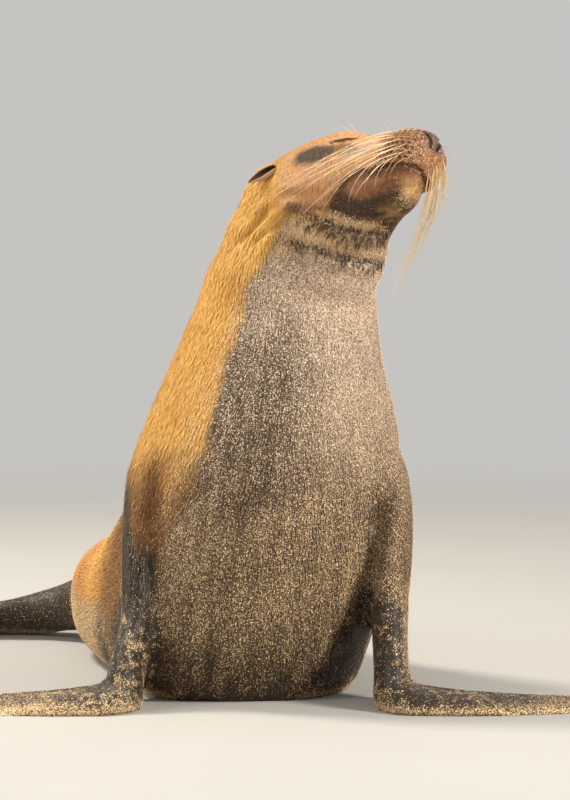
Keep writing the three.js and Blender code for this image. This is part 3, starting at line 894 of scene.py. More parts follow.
def coat_finish(name, tufts):
    finish = Finish(name, Specular_IOR_Level=0.25, Sheen_Weight=0.16 if tufts else 0.05,
                    Sheen_Roughness=0.4, Sheen_Tint=(1.0, 0.78, 0.5, 1.0))
    tone, grit, gloss = finish.stored("tone", "Color"), finish.stored("grit"), finish.stored("gloss")
    drawn = finish.vector("MULTIPLY", finish.place(), (1, 1, 0.2))
    streak = finish.noise(430, 3.0, 0.6, at=drawn)
    shaded = finish.mix(tone, (0.62, 0.57, 0.52), 1.0, "MULTIPLY")
    colour = finish.mix(tone, shaded, finish.rise(streak, 0.56, 0.28))
    if tufts:
        luck = finish.stored("luck")
        tip = finish.stored("tip")
        shade = finish.rise(luck, 0.5, 0.0) * 0.09 + (1 - tip) * 0.11
        colour = finish.mix(colour, (0.0, 0.0, 0.0), shade)
        colour = finish.mix(colour, (1.0, 0.86, 0.62), finish.rise(luck, 0.6, 1.0) * tip * 0.10)
    clump = finish.noise(620, 1.0, 0.5, at=drawn)
    soaked = finish.rise(clump, 0.47, 0.57) * finish.stored("wet") * 0.9
    colour = finish.mix(colour, (0.035, 0.022, 0.015), soaked)
    colour = finish.mix(colour, (0.045, 0.020, 0.012), follicles(finish) * finish.stored("pads") * 0.95)
    chance = finish.cells(GRAIN_CELLS, "Color")
    pick, hue = (finish.node("ShaderNodeSeparateColor", None, {0: chance}, k) for k in (0, 1))
    patchy = finish.noise(55, 3.0, 0.55)
    share = grit * (0.6 + patchy * 0.8)
    grain = finish.rise(pick - share, 0.05, -0.05)
    sand = finish.mix(SAND, SAND_GOLD, finish.stored("warm") * 0.75 + finish.rise(hue, 0.6, 0.95) * 0.25)
    sand = finish.mix(sand, (0.30, 0.20, 0.13), finish.rise(hue, 0.28, 0.12))
    dust = finish.node("ShaderNodeMath", {"operation": "MINIMUM"}, {0: grit * 0.35, 1: 0.15})
    colour = finish.mix(colour, sand, dust)
    colour = finish.mix(colour, sand, grain)
    finish.set("Base Color", colour)
    finish.set("Roughness", 0.72 - gloss * 0.36 + grain * 0.2)
    dome = finish.cells(GRAIN_CELLS)
    finish.bump(streak * 0.5 + grain * (1 - dome) * 0.7, 0.45, 0.0009)
    return finish.material


def sand_finish():
    """Loose grains: pale, golden and a few dark ones."""
    finish = Finish("sand", Specular_IOR_Level=0.3)
    hue = finish.stored("luck")
    sand = finish.mix(SAND, SAND_GOLD, finish.stored("warm") * 0.7 + finish.rise(hue, 0.7, 1.0) * 0.3)
    finish.set("Base Color", finish.mix(sand, (0.32, 0.21, 0.13), finish.rise(hue, 0.22, 0.08)))
    finish.set("Roughness", 0.6 + hue * 0.2)
    return finish.material


grain_finish = sand_finish()
skin_finish = coat_finish("skin under the coat", False)
tuft_finish = coat_finish("coat", True)
skin_mesh.materials.append(skin_finish)
print("finishes:", [m.name for m in bpy.data.materials])

# %% [markdown]
# ## Eyeballs
# Under each pair of lids sits a real eyeball. Only a dark moist line of it shows in the slit.

# %% Eyeballs
BALL = 14.4
LID_OVER_BALL = 5.0
BALL_AHEAD, BALL_UP = 119, 21


def mesh_object(name, verts, faces, material):
    """A new object from arrays of points in metres and of faces."""
    mesh = bpy.data.meshes.new(name)
    mesh.from_pydata([tuple(v) for v in verts], [], [tuple(int(i) for i in f) for f in faces])
    mesh.validate()
    mesh.shade_smooth()
    mesh.materials.append(material)
    obj = bpy.data.objects.new(name, mesh)
    bpy.context.scene.collection.objects.link(obj)
    return obj


def ball(centre, radius, rings=20):
    """Points and faces of a sphere, its poles closed."""
    made = bmesh.new()
    bmesh.ops.create_uvsphere(made, u_segments=2 * rings, v_segments=rings, radius=radius)
    verts = np.array([v.co[:] for v in made.verts]) + centre
    faces = [[v.index for v in f.verts] for f in made.faces]
    made.free()
    return verts, faces


eye_wet = Finish("eyeball", Roughness=0.08, Specular_IOR_Level=0.6)
cloud = eye_wet.noise(420, 2.0)
eye_wet.set("Base Color", eye_wet.mix((0.010, 0.007, 0.006), (0.035, 0.022, 0.016), cloud))
eyeballs = []
for side, word in ((-1, "right"), (1, "left")):
    aside = side * (EYE_AT[1] + LID_OVER_BALL - BALL)
    verts, faces = ball(face_point(BALL_AHEAD, aside, BALL_UP), BALL * MM)
    eyeballs.append(mesh_object("eyeball_" + word, verts, faces, eye_wet.material))
print("eyeballs:", len(eyeballs))

# %% [markdown]
# ## Ears
# A sea lion has ears, small furry leaves rolled into a cone that points back and down. The roll is
# open along one side and dark inside. A rolled sheet is one rule, so it is made from arrays: rows
# from root to tip, each an open ring, once outside and once inside for the thickness.


# %% Rolled ears
def rolled_ear(side):
    root = np.array([24.0, side * 61.0, 13.0])
    tip = np.array([-8.0, side * 75.0, -4.5])
    way = (tip - root) / np.linalg.norm(tip - root)
    outward = np.array([0.0, side * 1.0, -0.2])
    outward -= way * (outward @ way)
    outward /= np.linalg.norm(outward)
    across = np.cross(way, outward)
    rows, steps = 14, 22
    verts, tips = [], []
    for shell, wall in ((1.0, 0.0), (-1.0, 1.7)):
        for i in range(rows):
            t = i / (rows - 1)
            girth = np.interp(t, [0, 0.2, 0.55, 0.85, 1], [4.4, 5.6, 5.0, 3.0, 1.0]) - wall * (1 - 0.4 * t)
            flat = np.interp(t, [0, 0.5, 1], [1.5, 1.75, 1.4])
            middle = root + (tip - root) * t + outward * (1.6 * math.sin(math.pi * t))
            for k in range(steps):
                angle = math.radians(np.interp(k / (steps - 1), [0, 1], [24, 336 - 40 * t]))
                reach = max(girth, 0.25)
                place = middle + outward * reach * math.cos(angle) * 0.8
                place = place + across * reach * flat * math.sin(angle)
                verts.append(face_point(*place))
                tips.append(0.5 * t**2 if shell < 0 else 1.0)
    faces = []
    size = rows * steps
    for i in range(rows - 1):
        for k in range(steps - 1):
            a = i * steps + k
            quad = (a, a + 1, a + steps + 1, a + steps)
            faces.append(quad)
            faces.append(tuple(size + q for q in reversed(quad)))
        for k, flip in ((0, False), (steps - 1, True)):
            a = i * steps + k
            rim = (a, a + steps, size + a + steps, size + a)
            faces.append(tuple(reversed(rim)) if flip else rim)
    for i, flip in ((0, True), (rows - 1, False)):
        for k in range(steps - 1):
            a = i * steps + k
            rim = (a, a + 1, size + a + 1, size + a)
            faces.append(rim if flip else tuple(reversed(rim)))
    return verts, faces, tips


ear_finish = Finish("ear", Specular_IOR_Level=0.3, Sheen_Weight=0.2)
outside = ear_finish.stored("outside")
fleck = ear_finish.noise(700, 2.0)
fur = ear_finish.mix((0.50, 0.26, 0.12), (0.26, 0.13, 0.06), fleck)
hollow = ear_finish.mix((0.008, 0.005, 0.004), (0.022, 0.012, 0.008), fleck)
ear_finish.set("Base Color", ear_finish.mix(hollow, fur, outside))
ear_finish.set("Roughness", 0.75 - fleck * 0.1)
ear_finish.bump(fleck, 0.4, 0.0006)
ears = []
for side, word in ((-1, "right"), (1, "left")):
    verts, faces, tips = rolled_ear(side)
    ear = mesh_object("ear_shell_" + word, verts, faces, ear_finish.material)
    shape = bmesh.new()
    shape.from_mesh(ear.data)
    bmesh.ops.recalc_face_normals(shape, faces=shape.faces)
    shape.to_mesh(ear.data)
    shape.free()
    put(ear.data, "outside", "FLOAT", np.array(tips))
    ears.append(ear)
print("ears:", [len(e.data.polygons) for e in ears])

# %% [markdown]
# ## The coat
# The coat is short and lies flat: on the trunk about a centimetre long, on the face a few
# millimetres, and none on nose, lips and flippers. Real hairs are far too many, so each piece is a
# tuft: a thin blade that tapers to its tip and lies along the body. Geometry Nodes scatter the
# blades over the skin, turn each along the stored lie of the hair and lift its tip a little. Python
# arrays could do the same. The node tree keeps the sizes as inputs that can be tried out by hand.


# %% A helper for node trees
class Plan:
    """A Geometry Nodes tree under construction."""

    def __init__(self, name, inputs):
        self.tree = bpy.data.node_groups.new(name, "GeometryNodeTree")
        face = self.tree.interface
        face.new_socket("Geometry", in_out="INPUT", socket_type="NodeSocketGeometry")
        for label, kind, value in inputs:
            socket = face.new_socket(label, in_out="INPUT", socket_type=kind)
            if value is not None:
                socket.default_value = value
        face.new_socket("Geometry", in_out="OUTPUT", socket_type="NodeSocketGeometry")
        self.source = self.tree.nodes.new("NodeGroupInput")
        self.sink = self.tree.nodes.new("NodeGroupOutput")

    def given(self, label):
        return self.source.outputs[label]

    def node(self, kind, settings=None, inputs=None, out=0):
        made = self.tree.nodes.new(kind)
        for key, value in (settings or {}).items():
            setattr(made, key, value)
        for key, value in (inputs or {}).items():
            if isinstance(value, bpy.types.NodeSocket):
                self.tree.links.new(value, made.inputs[key])
            else:
                made.inputs[key].default_value = value
        return made.outputs[out]

    def math(self, sign, first, second=0.0):
        return self.node("ShaderNodeMath", {"operation": sign}, {0: first, 1: second})

    def vector(self, sign, first, second=(0, 0, 0), scale=None):
        inputs = {0: first, 1: second}
        if scale is not None:
            inputs = {0: first, "Scale": scale}
        return self.node("ShaderNodeVectorMath", {"operation": sign}, inputs)

    def stored(self, name, kind="FLOAT"):
        return self.node("GeometryNodeInputNamedAttribute", {"data_type": kind}, {"Name": name})

    def keep(self, geometry, name, value, kind="FLOAT", domain="POINT"):
        settings = {"data_type": kind, "domain": domain}
        inputs = {"Geometry": geometry, "Name": name, "Value": value}
        return self.node("GeometryNodeStoreNamedAttribute", settings, inputs)

    def chance(self, low, high, seed):
        inputs = {2: low, 3: high, "Seed": seed}
        return self.node("FunctionNodeRandomValue", {"data_type": "FLOAT"}, inputs, 1)

    def scatter(self, how_many):
        """Points over the mesh, as dense as its cover says; returns the node's outputs."""
        many = self.math("MULTIPLY", self.stored("cover"), self.given(how_many))
        inputs = {"Mesh": self.given("Geometry"), "Density": many, "Seed": self.given("Seed")}
        return self.node("GeometryNodeDistributePointsOnFaces", None, inputs).node.outputs

    def end(self, geometry):
        """Gives the geometry its finish and ends the tree with it."""
        inputs = {"Geometry": geometry, "Material": self.given("Finish")}
        self.tree.links.new(self.node("GeometryNodeSetMaterial", None, inputs), self.sink.inputs[0])


PATCH = 0.003


def blade(plan, rows):
    """A flat unit blade from its root at 0 along +Y to 1, tapered and arched, with its place stored."""
    sizes = {"Size X": 1.0, "Size Y": 1.0, "Vertices X": 2, "Vertices Y": rows}
    grid = plan.node("GeometryNodeMeshGrid", None, sizes).node.outputs
    parts = plan.node("ShaderNodeSeparateXYZ", None, {0: plan.node("GeometryNodeInputPosition")}).node.outputs
    run = plan.math("ADD", parts[1], 0.5)
    taper = plan.math("SUBTRACT", 1.0, plan.math("POWER", run, 2.2))
    taper = plan.node("ShaderNodeMath", {"operation": "MULTIPLY_ADD"}, {0: taper, 1: 0.88, 2: 0.06})
    arch = plan.math("MULTIPLY", plan.math("MULTIPLY", run, plan.math("SUBTRACT", 1.0, run)), 0.3)
    across = plan.math("MULTIPLY", parts[0], taper)
    shaped = plan.node("ShaderNodeCombineXYZ", None, {0: across, 1: run, 2: arch})
    placed = plan.node("GeometryNodeSetPosition", None, {"Geometry": grid["Mesh"], "Position": shaped})
    kept = plan.keep(placed, "local", grid["UV Map"], "FLOAT_VECTOR")
    height = plan.node("ShaderNodeSeparateXYZ", None, {0: plan.stored("local", "FLOAT_VECTOR")}, 1)
    return plan.node("GeometryNodeSetShadeSmooth", None, {0: plan.keep(kept, "tip", height)})


def coat_plan():
    plan = Plan("lay the coat", [
        ("Tufts per square metre", "NodeSocketFloat", 100000.0), ("Length", "NodeSocketFloat", 0.010),
        ("Width", "NodeSocketFloat", 0.002), ("Lift", "NodeSocketFloat", 0.16),
        ("Stray", "NodeSocketFloat", 0.25), ("Seed", "NodeSocketInt", 3),
        ("Finish", "NodeSocketMaterial", None),
    ])
    spread = plan.scatter("Tufts per square metre")
    roots = plan.keep(spread["Points"], "luck", plan.chance(0.0, 1.0, 11))
    wander = plan.node("FunctionNodeRandomValue", {"data_type": "FLOAT_VECTOR"},
                       {0: (-1, -1, -1), 1: (1, 1, 1), "Seed": 17})
    wander = plan.vector("SCALE", wander, scale=plan.given("Stray"))
    way = plan.vector("ADD", plan.stored("hair", "FLOAT_VECTOR"), wander)
    turned = plan.node("FunctionNodeAlignRotationToVector", {"axis": "Y", "pivot_axis": "Z"},
                       {"Rotation": spread["Rotation"], "Vector": way})
    lift = plan.math("MULTIPLY", plan.chance(0.5, 1.5, 23), plan.stored("stand"))
    lift = plan.math("MULTIPLY", plan.given("Lift"), lift)
    tilt = plan.node("ShaderNodeCombineXYZ", None, {0: lift})
    tilt = plan.node("FunctionNodeEulerToRotation", None, {0: tilt})
    lifted = plan.node("FunctionNodeRotateRotation", {"rotation_space": "LOCAL"},
                       {"Rotation": turned, "Rotate By": tilt})
    size = plan.math("MULTIPLY", plan.stored("length"), plan.chance(0.7, 1.3, 31))
    long = plan.math("MULTIPLY", size, plan.given("Length"))
    girth = plan.math("MULTIPLY", plan.stored("length"), plan.chance(0.75, 1.25, 37))
    wide = plan.math("MULTIPLY", girth, plan.given("Width"))
    scale = plan.node("ShaderNodeCombineXYZ", None, {0: wide, 1: long, 2: long})
    laid = plan.node("GeometryNodeInstanceOnPoints", None, {
        "Points": roots, "Instance": blade(plan, 4), "Rotation": lifted, "Scale": scale})
    real = plan.node("GeometryNodeRealizeInstances", None, {0: laid})
    middle = plan.vector("SUBTRACT", plan.stored("local", "FLOAT_VECTOR"), (0.5, 0.5, 0.0))
    patch = plan.vector("ADD", plan.stored("Wrap", "FLOAT_VECTOR"), plan.vector("SCALE", middle, scale=PATCH))
    plan.end(plan.keep(real, "OFBake", patch, "FLOAT2", "CORNER"))
    return plan.tree


def run_plan(tree, source, name, **values):
    """The tree run over a copy of the source mesh, as a plain object."""
    host = bpy.data.objects.new(name, source)
    bpy.context.scene.collection.objects.link(host)
    growth = host.modifiers.new("growth", "NODES")
    growth.node_group = tree
    for item in tree.interface.items_tree:
        if item.item_type == "SOCKET" and item.in_out == "INPUT" and item.name in values:
            growth[item.identifier] = values[item.name]
    made = frozen(host)
    for layer in list(made.attributes):
        if layer.name in ("hair", "cover", "length", "stand", "rise", "local", "Wrap", "id"):
            made.attributes.remove(layer)
    made.name = name
    obj = bpy.data.objects.new(name, made)
    bpy.context.scene.collection.objects.link(obj)
    return obj


# %% Length and cover of the coat, and its pieces
def coat_rules(points):
    """Length and uprightness of the tufts and how densely they cover, at every point."""
    f = in_head(points)[0]
    limb = belongs(points)
    z = points[:, 2] / MM
    length = 1 - 0.52 * soft(f, -20, 60) - 0.18 * soft(f, 100, 170)
    length *= 1 - 0.45 * np.maximum(limb["hand"], limb["foot"])
    stand = 1 - 0.4 * soft(f, 0, 80)
    cover = 1 - 0.92 * np.maximum(soft(limb["hand"], 0.4, 0.9), soft(limb["foot"], 0.6, 1.0))
    cover *= 1 - spot(points, (233, 0, 5), (18, 22, 17), 20)
    for side in (-1, 1):
        cover *= soft(near_skin(on_face(MOUTH[side], side)), 2.2, 4.5)
        from_slit = near_skin(on_face(SLIT, side))
        cover *= soft(from_slit, 2.2, 4.2)
        length *= 1 - 0.42 * (1 - soft(from_slit, 4, 16))
    cover *= soft(z, 4, 8)
    length *= 0.35 + 0.65 * soft(z, 5, 20)
    for path in THROAT_FOLDS:
        near = hump(near_skin(world_line(path)), 8)
        stand += 1.6 * near
        length *= 1 + 0.25 * near
    return length, stand, np.clip(cover, 0, 1)


def areas_of(mesh):
    """A share of the mesh's area for each point."""
    area = read(mesh.polygons, "area")[:, 0]
    sizes = read(mesh.polygons, "loop_total", kind=int)[:, 0]
    corners = read(mesh.loops, "vertex_index", kind=int)[:, 0]
    return np.bincount(corners, np.repeat(area / sizes, sizes), len(mesh.vertices))


length, stand, cover = coat_rules(points)
DENSITY = 105000.0
tufts_there = areas_of(skin_mesh) * cover * DENSITY / length**1.6
put(skin_mesh, "length", "FLOAT", length)
put(skin_mesh, "stand", "FLOAT", stand)
print("tufts in all:", int(tufts_there.sum()))

# %% Lay the coat, piece by piece
RINGS_OF_BODY = 40
down_body = along(np.vstack([SKULL[:1], SPINE]), points)[1]
order = np.lexsort((points[:, 0], (down_body * RINGS_OF_BODY).round()))
running = np.cumsum(tufts_there[order])
TUFTS_A_PIECE = 31000
piece_of = np.empty(len(points), int)
piece_of[order] = (running / (running[-1] / math.ceil(running[-1] / TUFTS_A_PIECE)) - 1e-9).astype(int)
lay_coat = coat_plan()
coats = []
for k in range(piece_of.max() + 1):
    put(skin_mesh, "cover", "FLOAT", cover / length**1.6 * (piece_of == k))
    coat = run_plan(lay_coat, skin_mesh, "coat_%d" % k, **{
        "Tufts per square metre": DENSITY, "Length": 0.0105, "Width": 0.0017, "Lift": 0.085,
        "Stray": 0.12, "Seed": 40 + k, "Finish": tuft_finish})
    coats.append(coat)

# %% [markdown]
# ## Wet clumps and sand
# On the rolls of the throat the wet hair has run together into dark pointed clumps that hang down.
# They come from the same plan with longer, wider blades. The sand comes from a second plan: small
# eight-sided grains, each turned and sized by chance, sit where the grit is thick.

# %% Throat clumps
clump_finish = Finish("wet clumps", Roughness=0.5, Specular_IOR_Level=0.35)
clump_tone = clump_finish.stored("luck")
clump_finish.set("Base Color", clump_finish.mix((0.040, 0.024, 0.015), (0.13, 0.078, 0.045), clump_tone))
upper, lower = (near_skin(world_line(path)) for path in THROAT_FOLDS)
hang = np.maximum(0.42 * (1 - soft(upper - 2, 6, 13)), 0.65 * (1 - soft(lower, 2.5, 6.0)))
ends = along(world_line(THROAT_FOLDS[1]), points)[1]
hang *= marks["sand"] * soft(ends, 0.02, 0.15) * (1 - soft(points[:, 2] / MM, 612, 622))
put(skin_mesh, "cover", "FLOAT", np.clip(hang, 0, 1))
for name in ("stand", "length"):
    put(skin_mesh, name, "FLOAT", np.ones(len(points)))
clumps = run_plan(lay_coat, skin_mesh, "throat_clumps", **{
    "Tufts per square metre": 90000.0, "Length": 0.0115, "Width": 0.0026, "Lift": 0.32,
    "Stray": 0.20, "Seed": 71, "Finish": clump_finish.material})
coats.append(clumps)
print("clumps:", triangles(clumps.data), "triangles")


# %% Sand grains
GRAIN_HEIGHT = 0.0017


def sand_plan():
    plan = Plan("scatter sand", [
        ("Grains per square metre", "NodeSocketFloat", 90000.0), ("Size", "NodeSocketFloat", 0.0006),
        ("Seed", "NodeSocketInt", 5), ("Finish", "NodeSocketMaterial", None),
    ])
    spread = plan.scatter("Grains per square metre")
    height = plan.math("MULTIPLY", plan.stored("rise"), GRAIN_HEIGHT)
    above = plan.vector("SCALE", spread["Normal"], scale=height)
    lifted = plan.node("GeometryNodeSetPosition", None, {"Geometry": spread["Points"], "Offset": above})
    roots = plan.keep(lifted, "luck", plan.chance(0.0, 1.0, 11))
    grain = plan.node("GeometryNodeMeshUVSphere", None, {"Segments": 4, "Rings": 2, "Radius": 1.0})
    turn = plan.node("FunctionNodeRandomValue", {"data_type": "FLOAT_VECTOR"},
                     {0: (0, 0, 0), 1: (6, 6, 6), "Seed": 3})
    size = plan.math("MULTIPLY", plan.given("Size"), plan.chance(0.55, 1.35, 8))
    laid = plan.node("GeometryNodeInstanceOnPoints", None, {
        "Points": roots, "Instance": grain, "Scale": size,
        "Rotation": plan.node("FunctionNodeEulerToRotation", None, {0: turn})})
    real = plan.node("GeometryNodeRealizeInstances", None, {0: laid})
    plan.end(plan.keep(real, "OFBake", plan.stored("Wrap", "FLOAT_VECTOR"), "FLOAT2", "CORNER"))
    return plan.tree


GRAINS = 42000
SLICES = ((0.33, 1.0), (0.12, 0.33), (0.04, 0.12), (0.0, 0.04))
want = np.clip(extras["grit"] * (1 + 0.5 * waves(points, 20, 31)), 0, 1) * soft(points[:, 2] / MM, 1.5, 3)
total_want = float((areas_of(skin_mesh) * want).sum())
put(skin_mesh, "rise", "FLOAT", cover)
scatter_sand = sand_plan()
grains = []
for k, (low, high) in enumerate(SLICES):
    put(skin_mesh, "cover", "FLOAT", want * ((points[:, 2] > low) & (points[:, 2] <= high)))
    grains.append(run_plan(scatter_sand, skin_mesh, "sand_%d" % k, **{
        "Grains per square metre": GRAINS / total_want, "Size": 0.00055, "Seed": 90 + k,
        "Finish": grain_finish}))
for name in ("cover", "length", "stand", "rise"):
    skin_mesh.attributes.remove(skin_mesh.attributes[name])
print("sand pieces:", [triangles(c.data) for c in grains])
print("coat pieces:", [triangles(c.data) for c in coats])

# %% [markdown]
# ## Whiskers
# A sea lion's whiskers are long smooth bristles. They leave the pads in rows, stand out, and then
# sweep back and droop under their own weight. Each is a curve with three points, and Geometry Nodes
# give all of them a round section that thins to the tip. Where a whisker shows best from the front,
# its points are given where the camera sees them, across and down its picture in pixels.
# The script works out their places: a root lies on the skin, the bend stands out in front of it, and
# the tips lie in one upright plane that follows the cheek.


# %% From a point of the picture to a place
CAMERA_AT = (0.0276, -4.710, 0.684)
CAMERA_DIP = 3.81
LENS, FILM = 168.75, 36
PICTURE_WIDE, PICTURE_TALL = 570, 800
skin_tree = BVHTree.FromPolygons([Vector(p) for p in points], [list(p.vertices) for p in skin_mesh.polygons])


def seen_at(across, down, depth):
    """The place in world mm, at y = depth, that the camera shows at a point of its picture in pixels."""
    reach = LENS / FILM * PICTURE_TALL
    right, up = (across - PICTURE_WIDE / 2) / reach, (PICTURE_TALL / 2 - down) / reach
    dip = math.radians(CAMERA_DIP)
    way = np.array([right, math.cos(dip) + up * math.sin(dip), up * math.cos(dip) - math.sin(dip)])
    start = np.array(CAMERA_AT) / MM
    return start + way * (depth - start[1]) / way[1]


def seen_on_skin(across, down):
    """The place in world mm where the camera sees the skin at a point of its picture."""
    start = Vector(CAMERA_AT)
    way = (Vector(seen_at(across, down, 0) * MM) - start).normalized()
    return np.array(skin_tree.ray_cast(start, way)[0]) / MM


print("middle of the picture at depth 0:", seen_at(PICTURE_WIDE / 2, PICTURE_TALL / 2, 0).round())


# %% Whiskers
def whisker_plan():
    plan = Plan("whiskers", [("Radius", "NodeSocketFloat", 0.0006), ("Finish", "NodeSocketMaterial", None)])
    share = plan.node("GeometryNodeSplineParameter")
    thin = plan.math("SUBTRACT", 1.02, plan.math("POWER", share, 1.5))
    thin = plan.math("MULTIPLY", thin, plan.given("Radius"))
    curve = plan.node("GeometryNodeSetCurveRadius", None, {"Curve": plan.given("Geometry"), "Radius": thin})
    ring = plan.node("GeometryNodeCurvePrimitiveCircle", {"mode": "RADIUS"}, {"Resolution": 5, "Radius": 1.0})
    inputs = {"Curve": curve, "Profile Curve": ring, "Fill Caps": True}
    made = plan.node("GeometryNodeCurveToMesh", None, inputs)
    if "Scale" in made.node.inputs:
        plan.tree.links.new(thin, made.node.inputs["Scale"])
    plan.end(plan.node("GeometryNodeRealizeInstances", None, {0: made}))
    return plan.tree


ROOT_DEPTH = 1 * MM


def through(root, passed, end):
    """The middle point that makes the curve from root to end pass through a given place."""
    return 2 * passed - (root + end) / 2


def bristle_path(root, middle, end, steps=14):
    """A curve from a root on the skin, drawn toward a middle point, to its end, all in world mm."""
    at, normal, _, _ = skin_tree.find_nearest(Vector(np.array(root) * MM))
    start = np.array(at) - np.array(normal) * ROOT_DEPTH
    a, b = np.array(middle) * MM, np.array(end) * MM
    t = np.linspace(0, 1, steps)[:, None]
    return (1 - t) ** 2 * start + 2 * t * (1 - t) * a + t**2 * b


def head_mm(*local):
    return face_point(*local) / MM


PAD_SEEN = [
    ((398, 131), (340, 150), (240, 215)), ((392, 135), (333, 158), (228, 232)),
    ((401, 138), (345, 160), (250, 208)), ((388, 142), (335, 168), (262, 222)),
    ((396, 144), (345, 165), (280, 200)), ((405, 144), (350, 172), (293, 225)),
    ((390, 150), (350, 175), (318, 218)), ((402, 152), (356, 172), (300, 216)),
    ((380, 158), (358, 178), (348, 206)), ((392, 158), (372, 172), (364, 193)),
    ((410, 150), (396, 157), (382, 180)), ((416, 154), (408, 158), (404, 168)),
    ((385, 160), (364, 182), (352, 202)), ((398, 155), (381, 168), (374, 190)),
    ((407, 158), (396, 164), (389, 178)), ((396, 136), (352, 147), (300, 170)),
    ((400, 148), (362, 160), (322, 186)),
]
PAD_PLACED = ((160, -152, 697), (98, -172, 678), (2, -96, 640))
BEND_AHEAD = 24
HANGING_DEPTH = -160


def cheek_plane(across):
    """Depth of the upright plane along the cheek in which the tips of the swept whiskers lie."""
    return -90 - 0.55 * across


def swept_whisker(root, bend, tip):
    """Root, bend and tip in world mm of a whisker given by three points of the picture."""
    root = seen_on_skin(*root)
    tip_depth = cheek_plane(seen_at(*tip, -120)[0])
    return root, seen_at(*bend, root[1] - BEND_AHEAD), seen_at(*tip, tip_depth)


def hanging_end(across, down):
    """Where a whisker that hangs from the muzzle ends, as x and z, for a point of the picture."""
    place = seen_at(across, down, HANGING_DEPTH)
    return place[0], place[2]


HANGING_ENDS = [
    hanging_end(387, 300), hanging_end(390, 304), hanging_end(393, 297), hanging_end(397, 290),
    (150, 520), hanging_end(405, 280), (158, 540), hanging_end(411, 270),
    hanging_end(418, 262), (172, 556), hanging_end(420, 250), (184, 574),
    hanging_end(430, 235), hanging_end(436, 225), (196, 600), (176, 530),
    (168, 512), (200, 570), (161, 498), (186, 556),
    (216, 610), (178, 545), (207, 604), (166, 524),
]
BROW = [
    ((150, -120, 703), seen_at(375, 125.5, -135)), ((158, -124, 703), seen_at(383, 123.5, -136)),
    ((172, -136, 706), seen_at(396, 126.5, -142)), ((176, -130, 708), seen_at(385, 122, -135)),
    ((112, -92, 704), seen_at(337, 125, -110)), ((118, -92, 705), seen_at(346, 122.5, -112)),
    ((224, -128, 686), seen_at(453.5, 160, -137)), ((225, -130, 682), seen_at(452, 165.5, -138)),
    ((222, -122, 690), (236, -132, 680)),
]
HANGING_ROOTS = ((208, -152, 664), (223, -134, 674), 3)
HANGING_BENDS = ((196, -168, 600), (225, -158, 622), 2.5)
dice = np.random.RandomState(5)
bristles = []
for row in [swept_whisker(*row) for row in PAD_SEEN] + [PAD_PLACED]:
    root, passed, end = (np.array(p, float) for p in row)
    bristles.append(bristle_path(root, through(root, passed, end), end))
for across, height in HANGING_ENDS + HANGING_ENDS[::2]:
    across, height = across + dice.normal(0, 2.5), height + dice.normal(0, 6)
    share = np.clip((height - 500) / 95 + dice.uniform(-0.35, 0.25), 0, 1)
    root, passed = (np.array(low) * (1 - share) + np.array(high) * share + dice.normal(0, spread, 3)
                    for low, high, spread in (HANGING_ROOTS, HANGING_BENDS))
    end = np.array([across, HANGING_DEPTH + dice.uniform(-8, 8), height])
    bristles.append(bristle_path(root, through(root, passed * 0.8 + (root + end) * 0.1, end), end))
for root, end in BROW:
    root, end = np.array(root, float), np.array(end, float)
    bristles.append(bristle_path(root, (root + end) / 2 + UPWARD * 5, end, 8))
for side in (-1, 1):
    for k in range(16):
        root = head_mm(184 + dice.uniform(0, 40), side * 40, -26 + dice.uniform(0, 34))
        out = LEFTWARD * side * dice.uniform(3, 9) - FORWARD * dice.uniform(8, 26)
        out = out - np.array([0, 0, 1]) * dice.uniform(4, 18)
        bristles.append(bristle_path(root, root + out * 0.5 + LEFTWARD * side * 3, root + out, 6))
lines = bpy.data.curves.new("whisker_lines", "CURVE")
lines.dimensions = "3D"
for path in bristles:
    spline = lines.splines.new("POLY")
    spline.points.add(len(path) - 1)
    spline.points.foreach_set("co", np.column_stack([path, np.ones(len(path))]).ravel())
whisker_finish = Finish("whisker", Roughness=0.35, Specular_IOR_Level=0.5)
across = whisker_finish.node("ShaderNodeSeparateXYZ", None, {0: whisker_finish.place()}, 0)
on_cheek = whisker_finish.rise(across, 0.175, 0.14)
sunlit = whisker_finish.mix((0.64, 0.42, 0.18), (0.98, 0.82, 0.52), on_cheek)
darker = whisker_finish.noise(40, 1.0) * 0.6
whisker_finish.set("Base Color", whisker_finish.mix(sunlit, (0.44, 0.26, 0.10), darker))
whiskers = run_plan(whisker_plan(), lines, "whiskers", Radius=0.00040, Finish=whisker_finish.material)
print("whiskers:", len(bristles), "triangles", triangles(whiskers.data))

# %% [markdown]
# ## Studio
# The model stands on a plain pale floor in soft light. A long lens from the front and slightly above
# the head keeps the proportions true.

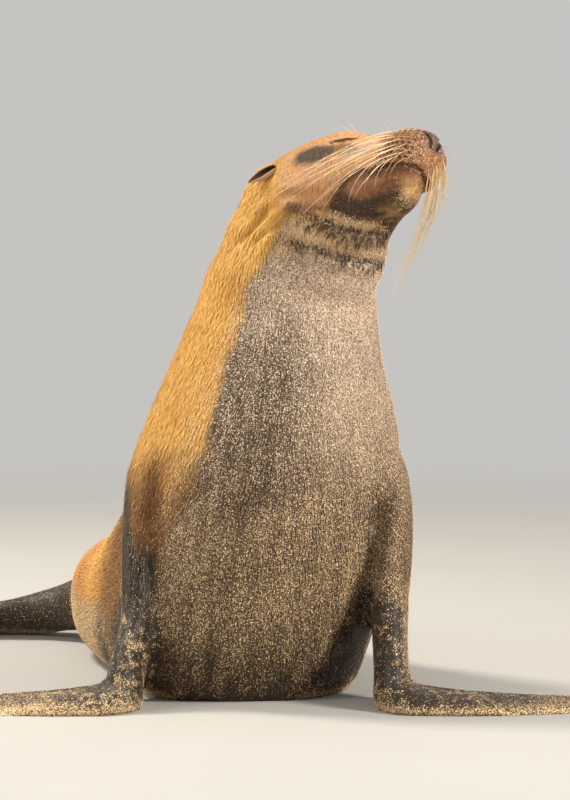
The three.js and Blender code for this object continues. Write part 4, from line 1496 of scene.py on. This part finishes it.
# %% Floor, light and camera
floor_finish = Finish("floor", Roughness=0.9)
cloudy = floor_finish.noise(3, 2)
floor_finish.set("Base Color", floor_finish.mix((0.42, 0.405, 0.38), (0.39, 0.375, 0.35), cloudy))
away = floor_finish.vector("LENGTH", floor_finish.place(), out=1)
floor_finish.set("Alpha", floor_finish.rise(away, 3.6, 1.7))
ROOM = 4.0
corners = [(-ROOM, -ROOM, 0), (ROOM, -ROOM, 0), (ROOM, ROOM, 0), (-ROOM, ROOM, 0)]
floor = mesh_object("floor", corners, [(0, 1, 2, 3)], floor_finish.material)

world = bpy.data.worlds.new("studio")
world.use_nodes = True
glow = world.node_tree.nodes["Background"].inputs
glow["Color"].default_value = (0.97, 0.95, 0.92, 1)
glow["Strength"].default_value = 0.58
bpy.context.scene.world = world


def area_light(name, at, toward, size, power, colour):
    lamp = bpy.data.lights.new(name, "AREA")
    lamp.shape, lamp.size, lamp.energy, lamp.color = "DISK", size, power, colour
    obj = bpy.data.objects.new(name, lamp)
    obj.location = at
    obj.rotation_mode = "QUATERNION"
    obj.rotation_quaternion = (Vector(toward) - Vector(at)).to_track_quat("-Z", "Y")
    bpy.context.scene.collection.objects.link(obj)


area_light("key", (2.9, -1.6, 2.1), (0, 0, 0.4), 0.9, 165, (1.0, 0.96, 0.88))
area_light("rim", (-1.9, 0.9, 2.8), (0, 0, 0.45), 0.8, 135, (1.0, 0.93, 0.82))
area_light("fill", (-3.0, -2.0, 1.7), (0, 0, 0.4), 1.6, 76, (1.0, 0.96, 0.90))

camera = bpy.data.objects.new("camera", bpy.data.cameras.new("camera"))
bpy.context.scene.collection.objects.link(camera)
camera.location = CAMERA_AT
camera.rotation_euler = (math.radians(90 - CAMERA_DIP), 0, 0)
camera.data.lens = LENS
camera.data.sensor_width = FILM
camera.data.clip_end = 100
bpy.context.scene.camera = camera
bpy.context.scene.view_settings.view_transform = "Standard"
print("camera takes in", round(2 * math.degrees(math.atan(FILM / 2 / LENS)), 1), "degrees from top to bottom")

# %% [markdown]
# ## Attach the pieces
# Each finished piece rides on the model's one body; the solids that skin, eyeballs and ears replace are
# hidden.

# %% Ride, replace and finish
for piece in [skin, whiskers] + eyeballs + ears + coats + grains:
    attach(piece, "root")
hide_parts(*[n for n in FLESH if not n.startswith("eye")])
for piece, node in zip(eyeballs + ears, ("eye_right", "eye_left", "ear_right", "ear_left")):
    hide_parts(node)
